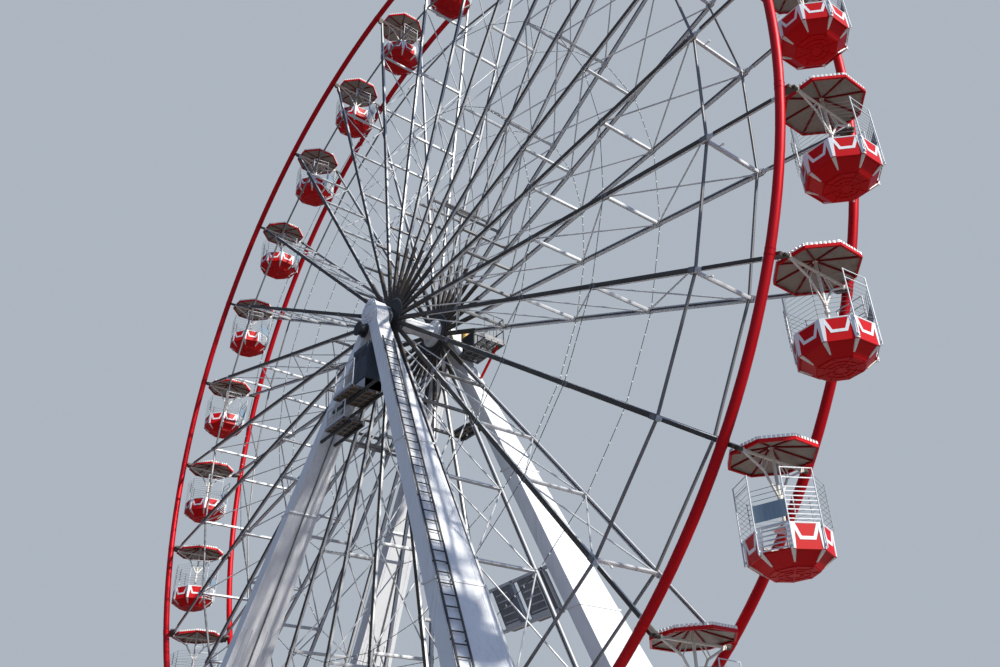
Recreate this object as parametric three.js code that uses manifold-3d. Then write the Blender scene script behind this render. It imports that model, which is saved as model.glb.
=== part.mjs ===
// A transportable observation wheel of 33 m pitch diameter with open umbrella cabins.
// Millimetres, +Z up, the wheel's axle along Y, origin on the ground under the hub.
// -Y is the near side, +Y the far side, +X the right.
import * as THREE from "three";
import { mergeVertices } from "three/addons/utils/BufferGeometryUtils.js";
import Module from "manifold-3d";

const wasm = await Module();
wasm.setup();

// Driving dimensions of the wheel.
const WHEEL_RADIUS = 16500; // hub axis to the cabins' pivots
const HUB_HEIGHT = 19900;
const CABIN_COUNT = 27;
const FIRST_CABIN_DEG = -9.566; // the first cabin, from +X towards +Z
const GAP = 0.3; // between pieces that rest on each other

// Hub, spokes and rims. A side is a distance from the wheel's middle plane.
const HUB_SIDE = 860;
const TIP_SIDE = 985;
const SPOKE_DEPTH = 130;
const SPOKE_WIDTH = 100;
const OUTER_SPOKE_DEPTH = 95; // beyond the ring of cross bars
const OUTER_SPOKE_WIDTH = 75;
const SPOKE_STEP = 120; // over which the section changes
const SPOKE_OVERLAP = 120; // into the flange and into the end block
const FLANGE_RADIUS = 700;
const FLANGE_WIDTH = 140;
const SHAFT_RADIUS = 230;
const SHAFT_CLEARANCE = 0.6;
const SHAFT_SIDES = 16;
const SHAFT_END = 1740;
const DRUM_RADIUS = 250;
const PIVOT_SIDE = 930; // inner face of the blocks that carry the cabins
const BLOCK_OUTER_SIDE = 1150;
const BLOCK_INNER_RADIUS = 16120;
const BLOCK_OUTER_RADIUS = 16600;
const BLOCK_DEPTH = 200;
const RIM_RADIUS = 16310; // of the tube's middle
const RIM_TUBE_RADIUS = 108;
const RIM_TUBE_FACETS = 8;
const RIM_FACETS = 2 * CABIN_COUNT;

// The ring of cross bars between the near and the far spokes.
const RING_RADIUS = 13940;
const RING_ROD = 60;
const CROSS_BAR = 80;

// The cabins, measured down from the pivot.
const TUB_RIM_DROP = 1527;
const TUB_BEVEL_DROP = 1976;
const TUB_BASE_DROP = 2197;
const TUB_BOTTOM_DROP = 2234;
const TUB_RIM_RADIUS = 815; // to the octagon's corners
const TUB_BEVEL_RADIUS = 803;
const TUB_BASE_RADIUS = 501;
const TUB_BOTTOM_RADIUS = 320;
const TUB_WALL = 40;
const DOOR_WIDTH = 500;
const DOOR_DEG = 225; // the doorway's direction in a tub that isn't turned
const DOOR_LINTEL = 10; // left whole under the tub's rim
const DOOR_CUT = [200, 80]; // in and out from the tub's corners
// Riders turn a tub about its column, so each stands a little differently.
const TUB_TURN_DEG = 175.2;
const TUB_SWAY_DEG = 9;
const TUB_SWAY_STEP = 2.4; // radians from one cabin to the next
const STRAIGHT_CABIN = 26; // stands at the mean turn
const TURNED_CABIN = 25;
const TURNED_CABIN_DEG = 63.4;
const CANOPY_RADIUS = 916;
const CANOPY_EDGE_LOW = 25;
const CANOPY_EDGE_HIGH = 115;
const CANOPY_APEX = 330;
const CANOPY_SKIN = 40;
const COLUMN_RADIUS = 35;
const COLUMN_NODE_DROP = 770;
const HANGER_BEAM = 60;
const ARM_KNEE_SIDE = 347;
const ARM_KNEE_DROP = 291;
const ARM_BAR = 46;

// The four legs. A drop is a distance below the hub's axis.
const LEG_SLOPE = 0.541; // sideways run for each unit of drop
const LEG_WIDTH = 500;
const HEAD_DROP = 520;
const HEAD_SIDES = [1230, 1670];
const FOOT_SIDES = [1620, 3710];
const BEARING_HALF = 530;
const BEARING_TOP = 360;
const BEARING_SHOULDER = [170, 160]; // in from the side, above the axis
const BEARING_CREST_INSET = 340;
const BEARING_FOOT_HEIGHT = 240;

// Ladder and service platforms on the legs. A platform is held by the left leg, the right leg or both.
const LADDER_FOOT = 1500;
const LADDER_TOP_DROP = 1500;
const LADDER_WIDTH = 370;
const LADDER_EDGE = 10; // from the leg's outer edge to the first rail
const LADDER_STANDOFF = 80;
const LADDER_RAIL = 50;
const LADDER_RUNGS = 20;
const LADDER_RUNG = 32;
const LADDER_BRACKETS = 5;
const LADDER_BRACKET = 40;
const PLATFORM_THICKNESS = 80;
const PLATFORM_BEARER = 70;
const BALCONY_GUARD = 940;
const RAILING_POST = 50;
const RAILING_BAR = 40;
const PLATFORMS = [
  {
    name: "near_service_platform", face: -1, held: [-1, 1],
    x: [-730, 400], sides: [1220, 2280], drop: 3000, guard: 940,
  },
  {
    name: "near_lower_platform", face: -1, held: [-1],
    x: [-1200, -80], sides: [1500, 2220], drop: 3850, guard: 600,
  },
  {
    name: "far_service_platform", face: 1, held: [1],
    x: [-20, 920], sides: [1480, 2130], drop: 3500, guard: 940,
  },
];
const CABINET = { x: [-450, 450], sides: [1280, 1860], plinth: 350, top: 1600 };

// The balcony beside the far bearing, with its drive housing and its red strut.
const BALCONY = { drop: 1150, end: 2400, sides: [1150, 1950], thickness: 80 };
const BALCONY_HOUSING = { x: [1000, 1700], sides: [1250, 1800], height: 620 };
const BALCONY_STRUT = { top: 2250, foot: 1330, side: 1760, bar: 70 };

// The rack of switchgear beside the far right leg, measured left from the leg's inner face.
const RACK = { drops: [9050, 10360], reach: 2800, bar: 80, sides: [1520, 1600], boxSides: [1540, 1800] };
const RACK_BOXES = [[450, 1450], [1850, 2550]];

// Ground frame and boarding platform.
const BEAM_HEIGHT = 600;
const BEAM_HALF_LENGTH = 11000;
const CROSS_BEAM_X = [10050, 10850];
const CROSS_BEAM_HEIGHT = 450;
const DECK_TOP = 1100;
const DECK_THICKNESS = 90;
const DECK_HALF_LENGTH = 4200;
const DECK_HALF_WIDTH = 2200;
const DECK_POST = 120;
const DECK_POST_ROWS = [-2100, 0, 2100];
const DECK_POST_COLUMNS = [-3900, 0, 3900];
const DECK_RAILING = 1050;
const DECK_RAILING_POSTS = 7;
const STAIR_STEPS = 5;
const STAIR_RUN = 300;
const STAIR_SIDES = [950, 1600]; // between the cabins and the near base beam
const STAIR_THICKNESS = 260;

const paint = (color, roughness = 0.45, metalness = 0.1) =>
  new THREE.MeshStandardMaterial({ color, roughness, metalness });
const redPaint = paint(0xb01522, 0.35);
const whitePaint = paint(0xe4e4e0, 0.45);
const greySteel = paint(0x8f979b, 0.5, 0.6);
const darkSteel = paint(0x3c4144, 0.55, 0.5);
const deckPaint = paint(0x6d6a63, 0.7);

// A closed geometry as a solid that can be joined and cut.
function toSolid(geometry) {
  const bare = new THREE.BufferGeometry();
  bare.setAttribute("position", geometry.getAttribute("position"));
  if (geometry.index) bare.setIndex(geometry.index);
  const merged = mergeVertices(bare, 1e-3);
  return new wasm.Manifold(
    new wasm.Mesh({
      numProp: 3,
      vertProperties: Float32Array.from(merged.attributes.position.array),
      triVerts: Uint32Array.from(merged.index.array),
    }),
  );
}

function toGeometry(solid) {
  const made = solid.getMesh();
  const geometry = new THREE.BufferGeometry();
  geometry.setAttribute("position", new THREE.BufferAttribute(Float32Array.from(made.vertProperties), 3));
  geometry.setIndex(new THREE.BufferAttribute(Uint32Array.from(made.triVerts), 1));
  const flat = geometry.toNonIndexed();
  flat.computeVertexNormals();
  return flat;
}

const fuse = (geometries) =>
  toGeometry(geometries.map(toSolid).reduce((whole, piece) => whole.add(piece)));

const cut = (geometry, tools) =>
  toGeometry(tools.map(toSolid).reduce((whole, tool) => whole.subtract(tool), toSolid(geometry)));

// A solid through a stack of rings with equal counts of corners, each ring
// counter-clockwise as seen from the last one.
function loft(rings) {
  const count = rings[0].length;
  const index = [];
  for (let ring = 0; ring + 1 < rings.length; ring++) {
    for (let corner = 0; corner < count; corner++) {
      const next = (corner + 1) % count;
      const [a, b] = [ring * count + corner, ring * count + next];
      index.push(a, b, b + count, a, b + count, a + count);
    }
  }
  const last = (rings.length - 1) * count;
  for (let corner = 1; corner + 1 < count; corner++) {
    index.push(0, corner + 1, corner, last, last + corner, last + corner + 1);
  }
  const geometry = new THREE.BufferGeometry();
  geometry.setAttribute("position", new THREE.Float32BufferAttribute(rings.flat(2), 3));
  geometry.setIndex(index);
  return geometry;
}

const rectangle = (x0, x1, y0, y1, z) => [[x0, y0, z], [x1, y0, z], [x1, y1, z], [x0, y1, z]];

const box = (x0, x1, y0, y1, z0, z1) =>
  loft([rectangle(x0, x1, y0, y1, z0), rectangle(x0, x1, y0, y1, z1)]);

// A square bar between two points, with two faces as level as its slope allows.
function bar(from, to, width, depth = width) {
  const [start, end] = [new THREE.Vector3(...from), new THREE.Vector3(...to)];
  const along = end.clone().sub(start);
  const length = along.length();
  along.normalize();
  const helper = Math.abs(along.y) > 0.9 ? new THREE.Vector3(0, 0, 1) : new THREE.Vector3(0, 1, 0);
  const across = new THREE.Vector3().crossVectors(helper, along).normalize();
  const third = new THREE.Vector3().crossVectors(along, across);
  const geometry = box(-width / 2, width / 2, -depth / 2, depth / 2, 0, length);
  geometry.applyMatrix4(new THREE.Matrix4().makeBasis(across, third, along).setPosition(start));
  return geometry;
}

// A body of revolution about Z from [radius, height] points, bottom to top.
function turned(profile, sides, turn = 0) {
  const geometry = new THREE.LatheGeometry(
    profile.map(([radius, height]) => new THREE.Vector2(radius, height)),
    sides,
  );
  geometry.rotateX(Math.PI / 2);
  geometry.rotateZ(turn);
  return geometry;
}

// The same body with its axis along Y, heights becoming sides, its first corner at the top.
const turnedAlongY = (profile, sides) => turned(profile, sides).rotateX(-Math.PI / 2);

const machine = new THREE.Group();

function add(name, geometry, material) {
  const mesh = new THREE.Mesh(geometry, material);
  mesh.name = name;
  machine.add(mesh);
}

// Wheel pieces are drawn upright over the hub, then turned to their angle.
const angleOf = (index) => THREE.MathUtils.degToRad(FIRST_CABIN_DEG + (index * 360) / CABIN_COUNT);

const atAngle = (geometry, angle) =>
  geometry.rotateY(Math.PI / 2 - angle).translate(0, 0, HUB_HEIGHT);

const spokeSide = (radius) => HUB_SIDE + ((TIP_SIDE - HUB_SIDE) * radius) / WHEEL_RADIUS;

// A wheel ring with its corners on the spokes. Its section lists [radius, side] corners.
function wheelRing(section, facets) {
  return atAngle(turnedAlongY([...section, section[0]], facets), angleOf(0));
}

const squareSection = (radius, side, half) => [
  [radius - half, side - half],
  [radius + half, side - half],
  [radius + half, side + half],
  [radius - half, side + half],
];

function roundSection(radius, side, tubeRadius, facets) {
  const corner = tubeRadius / Math.cos(Math.PI / facets);
  return Array.from({ length: facets }, (_, step) => {
    const turn = ((2 * step + 1) * Math.PI) / facets;
    return [radius + corner * Math.cos(turn), side + corner * Math.sin(turn)];
  });
}

function spoke(index, face) {
  const section = (radius, depth, width) => {
    const side = face * spokeSide(radius);
    return rectangle(-depth / 2, depth / 2, side - width / 2, side + width / 2, radius);
  };
  const shank = loft([
    section(FLANGE_RADIUS - SPOKE_OVERLAP, SPOKE_DEPTH, SPOKE_WIDTH),
    section(RING_RADIUS + SPOKE_STEP, SPOKE_DEPTH, SPOKE_WIDTH),
    section(RING_RADIUS + 2 * SPOKE_STEP, OUTER_SPOKE_DEPTH, OUTER_SPOKE_WIDTH),
    section(BLOCK_INNER_RADIUS + SPOKE_OVERLAP, OUTER_SPOKE_DEPTH, OUTER_SPOKE_WIDTH),
  ]);
  const [low, high] = [PIVOT_SIDE, BLOCK_OUTER_SIDE].map((side) => face * side).sort((a, b) => a - b);
  const block = box(
    -BLOCK_DEPTH / 2, BLOCK_DEPTH / 2, low, high, BLOCK_INNER_RADIUS, BLOCK_OUTER_RADIUS,
  );
  return [shank, block].map((piece) => atAngle(piece, angleOf(index)));
}

function spokeSideFrame(face) {
  const [low, high] = [-1, 1].map((end) => face * HUB_SIDE + (end * FLANGE_WIDTH) / 2);
  const disc = [[0, low], [FLANGE_RADIUS, low], [FLANGE_RADIUS, high], [0, high]];
  const facing = angleOf(0) + Math.PI / CABIN_COUNT;
  const flange = atAngle(turnedAlongY(disc, CABIN_COUNT), facing);
  const boreCorner = (SHAFT_RADIUS + SHAFT_CLEARANCE) / Math.cos(Math.PI / SHAFT_SIDES);
  const bore = turnedAlongY(
    [[0, -SHAFT_END], [boreCorner, -SHAFT_END], [boreCorner, SHAFT_END], [0, SHAFT_END]],
    SHAFT_SIDES,
  ).translate(0, 0, HUB_HEIGHT);
  const pieces = [flange];
  for (let index = 0; index < CABIN_COUNT; index++) pieces.push(...spoke(index, face));
  return cut(fuse(pieces), [bore]);
}

// Cross bars from side to side, joined by a ring of rods against each side's spokes.
function crossRing() {
  const half = RING_ROD / 2;
  const reach = spokeSide(RING_RADIUS - half) - SPOKE_WIDTH / 2 - GAP - half;
  const pieces = [-reach, reach].map((side) =>
    wheelRing(squareSection(RING_RADIUS, side, half), CABIN_COUNT),
  );
  for (let index = 0; index < CABIN_COUNT; index++) {
    const low = RING_RADIUS - CROSS_BAR / 2;
    const crossBar = box(-CROSS_BAR / 2, CROSS_BAR / 2, -reach, reach, low, low + CROSS_BAR);
    pieces.push(atAngle(crossBar, angleOf(index)));
  }
  return fuse(pieces);
}

function hubShaft() {
  const drum = HUB_SIDE - FLANGE_WIDTH / 2 - GAP;
  const profile = [
    [0, -SHAFT_END],
    [SHAFT_RADIUS, -SHAFT_END],
    [SHAFT_RADIUS, -drum],
    [DRUM_RADIUS, -drum],
    [DRUM_RADIUS, drum],
    [SHAFT_RADIUS, drum],
    [SHAFT_RADIUS, SHAFT_END],
    [0, SHAFT_END],
  ];
  const halfFacet = Math.PI / SHAFT_SIDES;
  return turnedAlongY(profile, SHAFT_SIDES).rotateY(halfFacet).translate(0, 0, HUB_HEIGHT);
}

function addWheel() {
  add("hub_shaft", hubShaft(), whitePaint);
  add("near_spokes", spokeSideFrame(-1), greySteel);
  add("far_spokes", spokeSideFrame(1), greySteel);
  const rimSide = BLOCK_OUTER_SIDE + GAP + RIM_TUBE_RADIUS;
  const rim = (side) => roundSection(RIM_RADIUS, side, RIM_TUBE_RADIUS, RIM_TUBE_FACETS);
  add("near_rim", wheelRing(rim(-rimSide), RIM_FACETS), redPaint);
  add("far_rim", wheelRing(rim(rimSide), RIM_FACETS), redPaint);
  add("cross_bar_ring", crossRing(), greySteel);
}

// The octagons of the cabins have flats towards +X and +Y.
const octagon = (profile) => turned(profile, 8, Math.PI / 8);

function tub() {
  const shell = octagon([
    [0, -TUB_BOTTOM_DROP],
    [TUB_BOTTOM_RADIUS, -TUB_BOTTOM_DROP],
    [TUB_BASE_RADIUS, -TUB_BASE_DROP],
    [TUB_BEVEL_RADIUS, -TUB_BEVEL_DROP],
    [TUB_RIM_RADIUS, -TUB_RIM_DROP],
    [TUB_RIM_RADIUS - TUB_WALL, -TUB_RIM_DROP],
    [TUB_BEVEL_RADIUS - TUB_WALL, -TUB_BEVEL_DROP + TUB_WALL],
    [TUB_BASE_RADIUS - TUB_WALL, -TUB_BASE_DROP + TUB_WALL],
    [0, -TUB_BASE_DROP + TUB_WALL],
  ]);
  const [inside, outside] = [TUB_RIM_RADIUS - DOOR_CUT[0], TUB_RIM_RADIUS + DOOR_CUT[1]];
  const doorway = box(
    inside, outside, -DOOR_WIDTH / 2, DOOR_WIDTH / 2,
    -TUB_BEVEL_DROP + TUB_WALL, -TUB_RIM_DROP + DOOR_LINTEL,
  ).rotateZ(THREE.MathUtils.degToRad(DOOR_DEG));
  return cut(shell, [doorway]);
}

function tubTurn(index) {
  const sway = TUB_SWAY_DEG * Math.sin(TUB_SWAY_STEP * (index - STRAIGHT_CABIN));
  return THREE.MathUtils.degToRad(index === TURNED_CABIN ? TURNED_CABIN_DEG : TUB_TURN_DEG + sway);
}

function canopy() {
  return octagon([
    [0, CANOPY_APEX - CANOPY_SKIN],
    [CANOPY_RADIUS - CANOPY_SKIN, CANOPY_EDGE_LOW],
    [CANOPY_RADIUS, CANOPY_EDGE_LOW],
    [CANOPY_RADIUS, CANOPY_EDGE_HIGH],
    [0, CANOPY_APEX],
  ]);
}

function hanger() {
  const reach = PIVOT_SIDE - GAP;
  const half = HANGER_BEAM / 2;
  const pieces = [box(-half, half, -reach, reach, -half, half)];
  pieces.push(
    turned(
      [
        [0, -TUB_BASE_DROP + TUB_WALL / 2],
        [COLUMN_RADIUS, -TUB_BASE_DROP + TUB_WALL / 2],
        [COLUMN_RADIUS, CANOPY_APEX - CANOPY_SKIN / 2],
        [0, CANOPY_APEX - CANOPY_SKIN / 2],
      ],
      6,
    ),
  );
  for (const face of [-1, 1]) {
    const knee = [0, face * ARM_KNEE_SIDE, -ARM_KNEE_DROP];
    pieces.push(bar([0, face * (reach - half), 0], knee, ARM_BAR));
    pieces.push(bar(knee, [0, 0, -COLUMN_NODE_DROP], ARM_BAR));
  }
  return pieces;
}

function addCabins() {
  const [shell, fixed] = [tub(), [canopy(), ...hanger()]];
  for (let index = 0; index < CABIN_COUNT; index++) {
    const angle = angleOf(index);
    const [x, z] = [WHEEL_RADIUS * Math.cos(angle), WHEEL_RADIUS * Math.sin(angle)];
    const name = `cabin_${String(index + 1).padStart(2, "0")}`;
    const shape = fuse([shell.clone().rotateZ(tubTurn(index)), ...fixed]);
    add(name, shape.translate(x, 0, HUB_HEIGHT + z), redPaint);
  }
}

// Position of a leg's middle and its inner and outer sides at a drop below the hub.
const legX = (drop) => LEG_SLOPE * drop;
const FOOT_DROP = HUB_HEIGHT - BEAM_HEIGHT - GAP;

function legSides(drop) {
  const t = (drop - HEAD_DROP) / (FOOT_DROP - HEAD_DROP);
  return HEAD_SIDES.map((side, end) => side + t * (FOOT_SIDES[end] - side));
}

function leg(handed, face) {
  const station = (drop) => {
    const middle = handed * legX(drop);
    const [low, high] = legSides(drop).map((side) => face * side).sort((a, b) => a - b);
    return rectangle(middle - LEG_WIDTH / 2, middle + LEG_WIDTH / 2, low, high, HUB_HEIGHT - drop);
  };
  return loft([station(FOOT_DROP), station(HEAD_DROP + GAP)]);
}

// The bearing block over a pair of legs, drawn in the wheel's plane.
function bearing(face) {
  const [shoulderInset, shoulderHeight] = BEARING_SHOULDER;
  const outline = new THREE.Shape([
    new THREE.Vector2(-BEARING_HALF, -HEAD_DROP),
    new THREE.Vector2(BEARING_HALF, -HEAD_DROP),
    new THREE.Vector2(BEARING_HALF, -HEAD_DROP + BEARING_FOOT_HEIGHT),
    new THREE.Vector2(BEARING_HALF - shoulderInset, shoulderHeight),
    new THREE.Vector2(BEARING_HALF - BEARING_CREST_INSET, BEARING_TOP),
    new THREE.Vector2(-BEARING_HALF + BEARING_CREST_INSET, BEARING_TOP),
    new THREE.Vector2(-BEARING_HALF + shoulderInset, shoulderHeight),
    new THREE.Vector2(-BEARING_HALF, -HEAD_DROP + BEARING_FOOT_HEIGHT),
  ]);
  const boreCorner = (SHAFT_RADIUS + SHAFT_CLEARANCE) / Math.cos(Math.PI / SHAFT_SIDES);
  const bore = [];
  for (let side = 0; side < SHAFT_SIDES; side++) {
    const turn = (2 * Math.PI * side) / SHAFT_SIDES;
    bore.push(new THREE.Vector2(boreCorner * Math.cos(turn), boreCorner * Math.sin(turn)));
  }
  outline.holes.push(new THREE.Path(bore));
  const [inner, outer] = HEAD_SIDES;
  const block = new THREE.ExtrudeGeometry(outline, { depth: outer - inner, bevelEnabled: false });
  block.rotateX(Math.PI / 2);
  return block.translate(0, face > 0 ? outer : -inner, HUB_HEIGHT);
}

function ladder() {
  const xFace = (drop) => legX(drop) + LEG_WIDTH / 2;
  const railY = (drop, rail) => -legSides(drop)[1] + LADDER_EDGE + rail * LADDER_WIDTH;
  const point = (drop, rail, off = LADDER_STANDOFF) => [
    xFace(drop) + off, railY(drop, rail), HUB_HEIGHT - drop,
  ];
  const [foot, top] = [HUB_HEIGHT - LADDER_FOOT, LADDER_TOP_DROP];
  const pieces = [0, 1].map((rail) => bar(point(foot, rail), point(top, rail), LADDER_RAIL));
  for (let rung = 0; rung < LADDER_RUNGS; rung++) {
    const drop = top + ((rung + 0.5) / LADDER_RUNGS) * (foot - top);
    pieces.push(bar(point(drop, 0), point(drop, 1), LADDER_RUNG));
  }
  for (let bracket = 0; bracket < LADDER_BRACKETS; bracket++) {
    const drop = top + ((bracket + 0.5) / LADDER_BRACKETS) * (foot - top);
    const half = LADDER_BRACKET / 2;
    const reach = LADDER_STANDOFF;
    for (const rail of [0, 1]) {
      const [x, y, z] = point(drop, rail, 0);
      const start = x + LEG_SLOPE * half + GAP;
      pieces.push(box(start, x + reach, y - half, y + half, z - half, z + half));
    }
  }
  return fuse(pieces);
}

// Posts and two rails between two ends at one side. The posts start below the base by the root.
function railing(x0, x1, y, base, height, posts, root = RAILING_BAR) {
  const pieces = [];
  for (let post = 0; post < posts; post++) {
    const x = x0 + (post / (posts - 1)) * (x1 - x0);
    pieces.push(bar([x, y, base - root], [x, y, base + height], RAILING_POST));
  }
  for (const z of [base + height / 2, base + height - RAILING_BAR / 2]) {
    pieces.push(bar([x0, y, z], [x1, y, z], RAILING_BAR));
  }
  return pieces;
}

// A grating deck on two bearers between a pair of legs, with a railing on its outer side.
function servicePlatform({ face, x, sides, drop, held, guard }) {
  const deckTop = HUB_HEIGHT - drop;
  const under = deckTop - PLATFORM_THICKNESS;
  const [low, high] = sides.map((side) => face * side).sort((a, b) => a - b);
  const pieces = [box(x[0], x[1], low, high, under, deckTop)];
  const half = PLATFORM_BEARER / 2;
  const reach = legX(drop + PLATFORM_THICKNESS - half) - LEG_WIDTH / 2 - GAP;
  const start = held.includes(-1) ? -reach : x[0];
  const end = held.includes(1) ? reach : x[1];
  const [legInner, legOuter] = legSides(drop);
  for (const side of [Math.max(sides[0], legInner) + half, Math.min(sides[1], legOuter) - half]) {
    const y = face * side;
    pieces.push(box(start, end, y - half, y + half, under - PLATFORM_BEARER, under + half));
  }
  const inset = RAILING_POST / 2;
  const edge = face * (sides[1] - inset);
  pieces.push(...railing(x[0] + inset, x[1] - inset, edge, deckTop, guard, 3));
  return fuse(pieces);
}

// The switch cabinet under the near bearing, on a plinth that stands on the deck.
function cabinet() {
  const [inner, outer] = CABINET.sides;
  const [left, right] = CABINET.x;
  const floor = HUB_HEIGHT - PLATFORMS[0].drop + GAP;
  const middle = floor + CABINET.plinth;
  const plinth = box(left, PLATFORMS[0].x[1], -outer, -inner, floor, middle + GAP);
  return fuse([plinth, box(left, right, -outer, -inner, middle, floor + CABINET.top)]);
}

// A service balcony held out from the far right leg by a strut.
function driveBalcony() {
  const [inner, outer] = BALCONY.sides;
  const top = HUB_HEIGHT - BALCONY.drop;
  const under = top - BALCONY.thickness;
  const start = legX(BALCONY.drop + BALCONY.thickness) + LEG_WIDTH / 2 + GAP;
  const { x, sides, height } = BALCONY_HOUSING;
  const inset = RAILING_POST / 2;
  const strut = BALCONY_STRUT;
  const foot = HUB_HEIGHT - (strut.foot - LEG_WIDTH / 2) / LEG_SLOPE;
  return fuse([
    box(start, BALCONY.end, inner, outer, under, top),
    box(x[0], x[1], sides[0], sides[1], top - GAP, top + height),
    ...railing(start + inset, BALCONY.end - inset, outer - inset, top, BALCONY_GUARD, 4),
    bar([strut.top, strut.side, under + GAP], [strut.foot + strut.bar / 2, strut.side, foot], strut.bar),
  ]);
}

// Two switch boxes in a frame, both leaning as the far right leg does.
function equipmentRack() {
  const leaning = ([near, far], [y0, y1], [high, low]) => {
    const ring = (drop) => {
      const face = legX(drop) - LEG_WIDTH / 2;
      return rectangle(face - far, face - near, y0, y1, HUB_HEIGHT - drop);
    };
    return loft([ring(low), ring(high)]);
  };
  const { drops, reach, bar: size, sides, boxSides } = RACK;
  const [high, low] = drops;
  return fuse([
    leaning([GAP, reach], sides, [high, high + size]),
    leaning([GAP, reach], sides, [low - size, low]),
    leaning([reach - size, reach], sides, drops),
    ...RACK_BOXES.map((span) => leaning(span, boxSides, [high + size / 2, low - size / 2])),
  ]);
}

function addSupport() {
  for (const [side, face] of [["near", -1], ["far", 1]]) {
    add(`${side}_left_leg`, leg(-1, face), whitePaint);
    add(`${side}_right_leg`, leg(1, face), whitePaint);
    add(`${side}_bearing`, bearing(face), whitePaint);
  }
  for (const platform of PLATFORMS) add(platform.name, servicePlatform(platform), darkSteel);
  add("near_cabinet", cabinet(), darkSteel);
  add("far_drive_balcony", driveBalcony(), darkSteel);
  add("far_equipment_rack", equipmentRack(), darkSteel);
  add("leg_ladder", ladder(), greySteel);
}

function boardingPlatform() {
  const [length, width] = [DECK_HALF_LENGTH, DECK_HALF_WIDTH];
  const pieces = [box(-length, length, -width, width, DECK_TOP - DECK_THICKNESS, DECK_TOP)];
  const half = DECK_POST / 2;
  for (const x of DECK_POST_COLUMNS) {
    for (const y of DECK_POST_ROWS) {
      const foot = y === 0 ? 0 : BEAM_HEIGHT + GAP; // the outer rows stand on the base beams
      pieces.push(box(x - half, x + half, y - half, y + half, foot, DECK_TOP - DECK_THICKNESS / 2));
    }
  }
  return fuse(pieces);
}

function deckRailing(face) {
  const edge = face * (DECK_HALF_WIDTH - RAILING_POST);
  const end = DECK_HALF_LENGTH - RAILING_POST;
  return fuse(railing(-end, end, edge, DECK_TOP + GAP, DECK_RAILING, DECK_RAILING_POSTS, 0));
}

// A flight of steps at one end of the deck, with a handrail on each side.
function stair(handed) {
  const rise = DECK_TOP / STAIR_STEPS;
  const treads = [[0, DECK_TOP]];
  for (let step = 1; step < STAIR_STEPS; step++) {
    treads.push([step * STAIR_RUN, DECK_TOP - (step - 1) * rise]);
    treads.push([step * STAIR_RUN, DECK_TOP - step * rise]);
  }
  const foot = STAIR_STEPS * STAIR_RUN;
  treads.push([foot, rise], [foot, 0], [foot - STAIR_RUN, 0], [0, DECK_TOP - STAIR_THICKNESS]);
  const outline = new THREE.Shape(treads.map(([x, z]) => new THREE.Vector2(x, z)));
  const [inner, outer] = STAIR_SIDES;
  const flight = new THREE.ExtrudeGeometry(outline, { depth: outer - inner, bevelEnabled: false });
  flight.rotateX(Math.PI / 2).translate(0, -inner, 0);
  const pieces = [flight];
  for (const y of [-inner - RAILING_POST / 2, -outer + RAILING_POST / 2]) {
    const [high, low] = [RAILING_POST, foot - RAILING_POST];
    pieces.push(bar([high, y, DECK_TOP - rise], [high, y, DECK_TOP + DECK_RAILING], RAILING_POST));
    pieces.push(bar([low, y, rise / 2], [low, y, rise + DECK_RAILING], RAILING_POST));
    const inset = RAILING_BAR / 2;
    const ends = [[high, y, DECK_TOP + DECK_RAILING - inset], [low, y, rise + DECK_RAILING - inset]];
    pieces.push(bar(...ends, RAILING_BAR));
  }
  const shape = fuse(pieces);
  if (handed < 0) shape.rotateZ(Math.PI).translate(0, -inner - outer, 0);
  return shape.translate(handed * (DECK_HALF_LENGTH + GAP), 0, 0);
}

function addGroundFrame() {
  const [inner, outer] = FOOT_SIDES;
  add("near_base_beam", box(-BEAM_HALF_LENGTH, BEAM_HALF_LENGTH, -outer, -inner, 0, BEAM_HEIGHT), whitePaint);
  add("far_base_beam", box(-BEAM_HALF_LENGTH, BEAM_HALF_LENGTH, inner, outer, 0, BEAM_HEIGHT), whitePaint);
  const [x0, x1] = CROSS_BEAM_X;
  const reach = inner - GAP;
  add("left_cross_beam", box(-x1, -x0, -reach, reach, 0, CROSS_BEAM_HEIGHT), whitePaint);
  add("right_cross_beam", box(x0, x1, -reach, reach, 0, CROSS_BEAM_HEIGHT), whitePaint);
  add("boarding_platform", boardingPlatform(), deckPaint);
  add("near_deck_railing", deckRailing(-1), deckPaint);
  add("far_deck_railing", deckRailing(1), deckPaint);
  add("left_stair", stair(-1), deckPaint);
  add("right_stair", stair(1), deckPaint);
}

addWheel();
addCabins();
addSupport();
addGroundFrame();

export default machine;
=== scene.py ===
# %% [markdown]
# # An observation wheel with umbrella cabins
# This is a transportable fairground wheel, 33 m across its cabins' pivots. The packed
# model brings the frame: every body, joint and solid at its real size. This script gives
# each solid its finish, and puts finer pieces over the plain ones. We load the frame
# first. The finished wheel may not outgrow it.

# %% Load the frame
import math

import bpy
import numpy as np
from mathutils import Matrix


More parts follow.
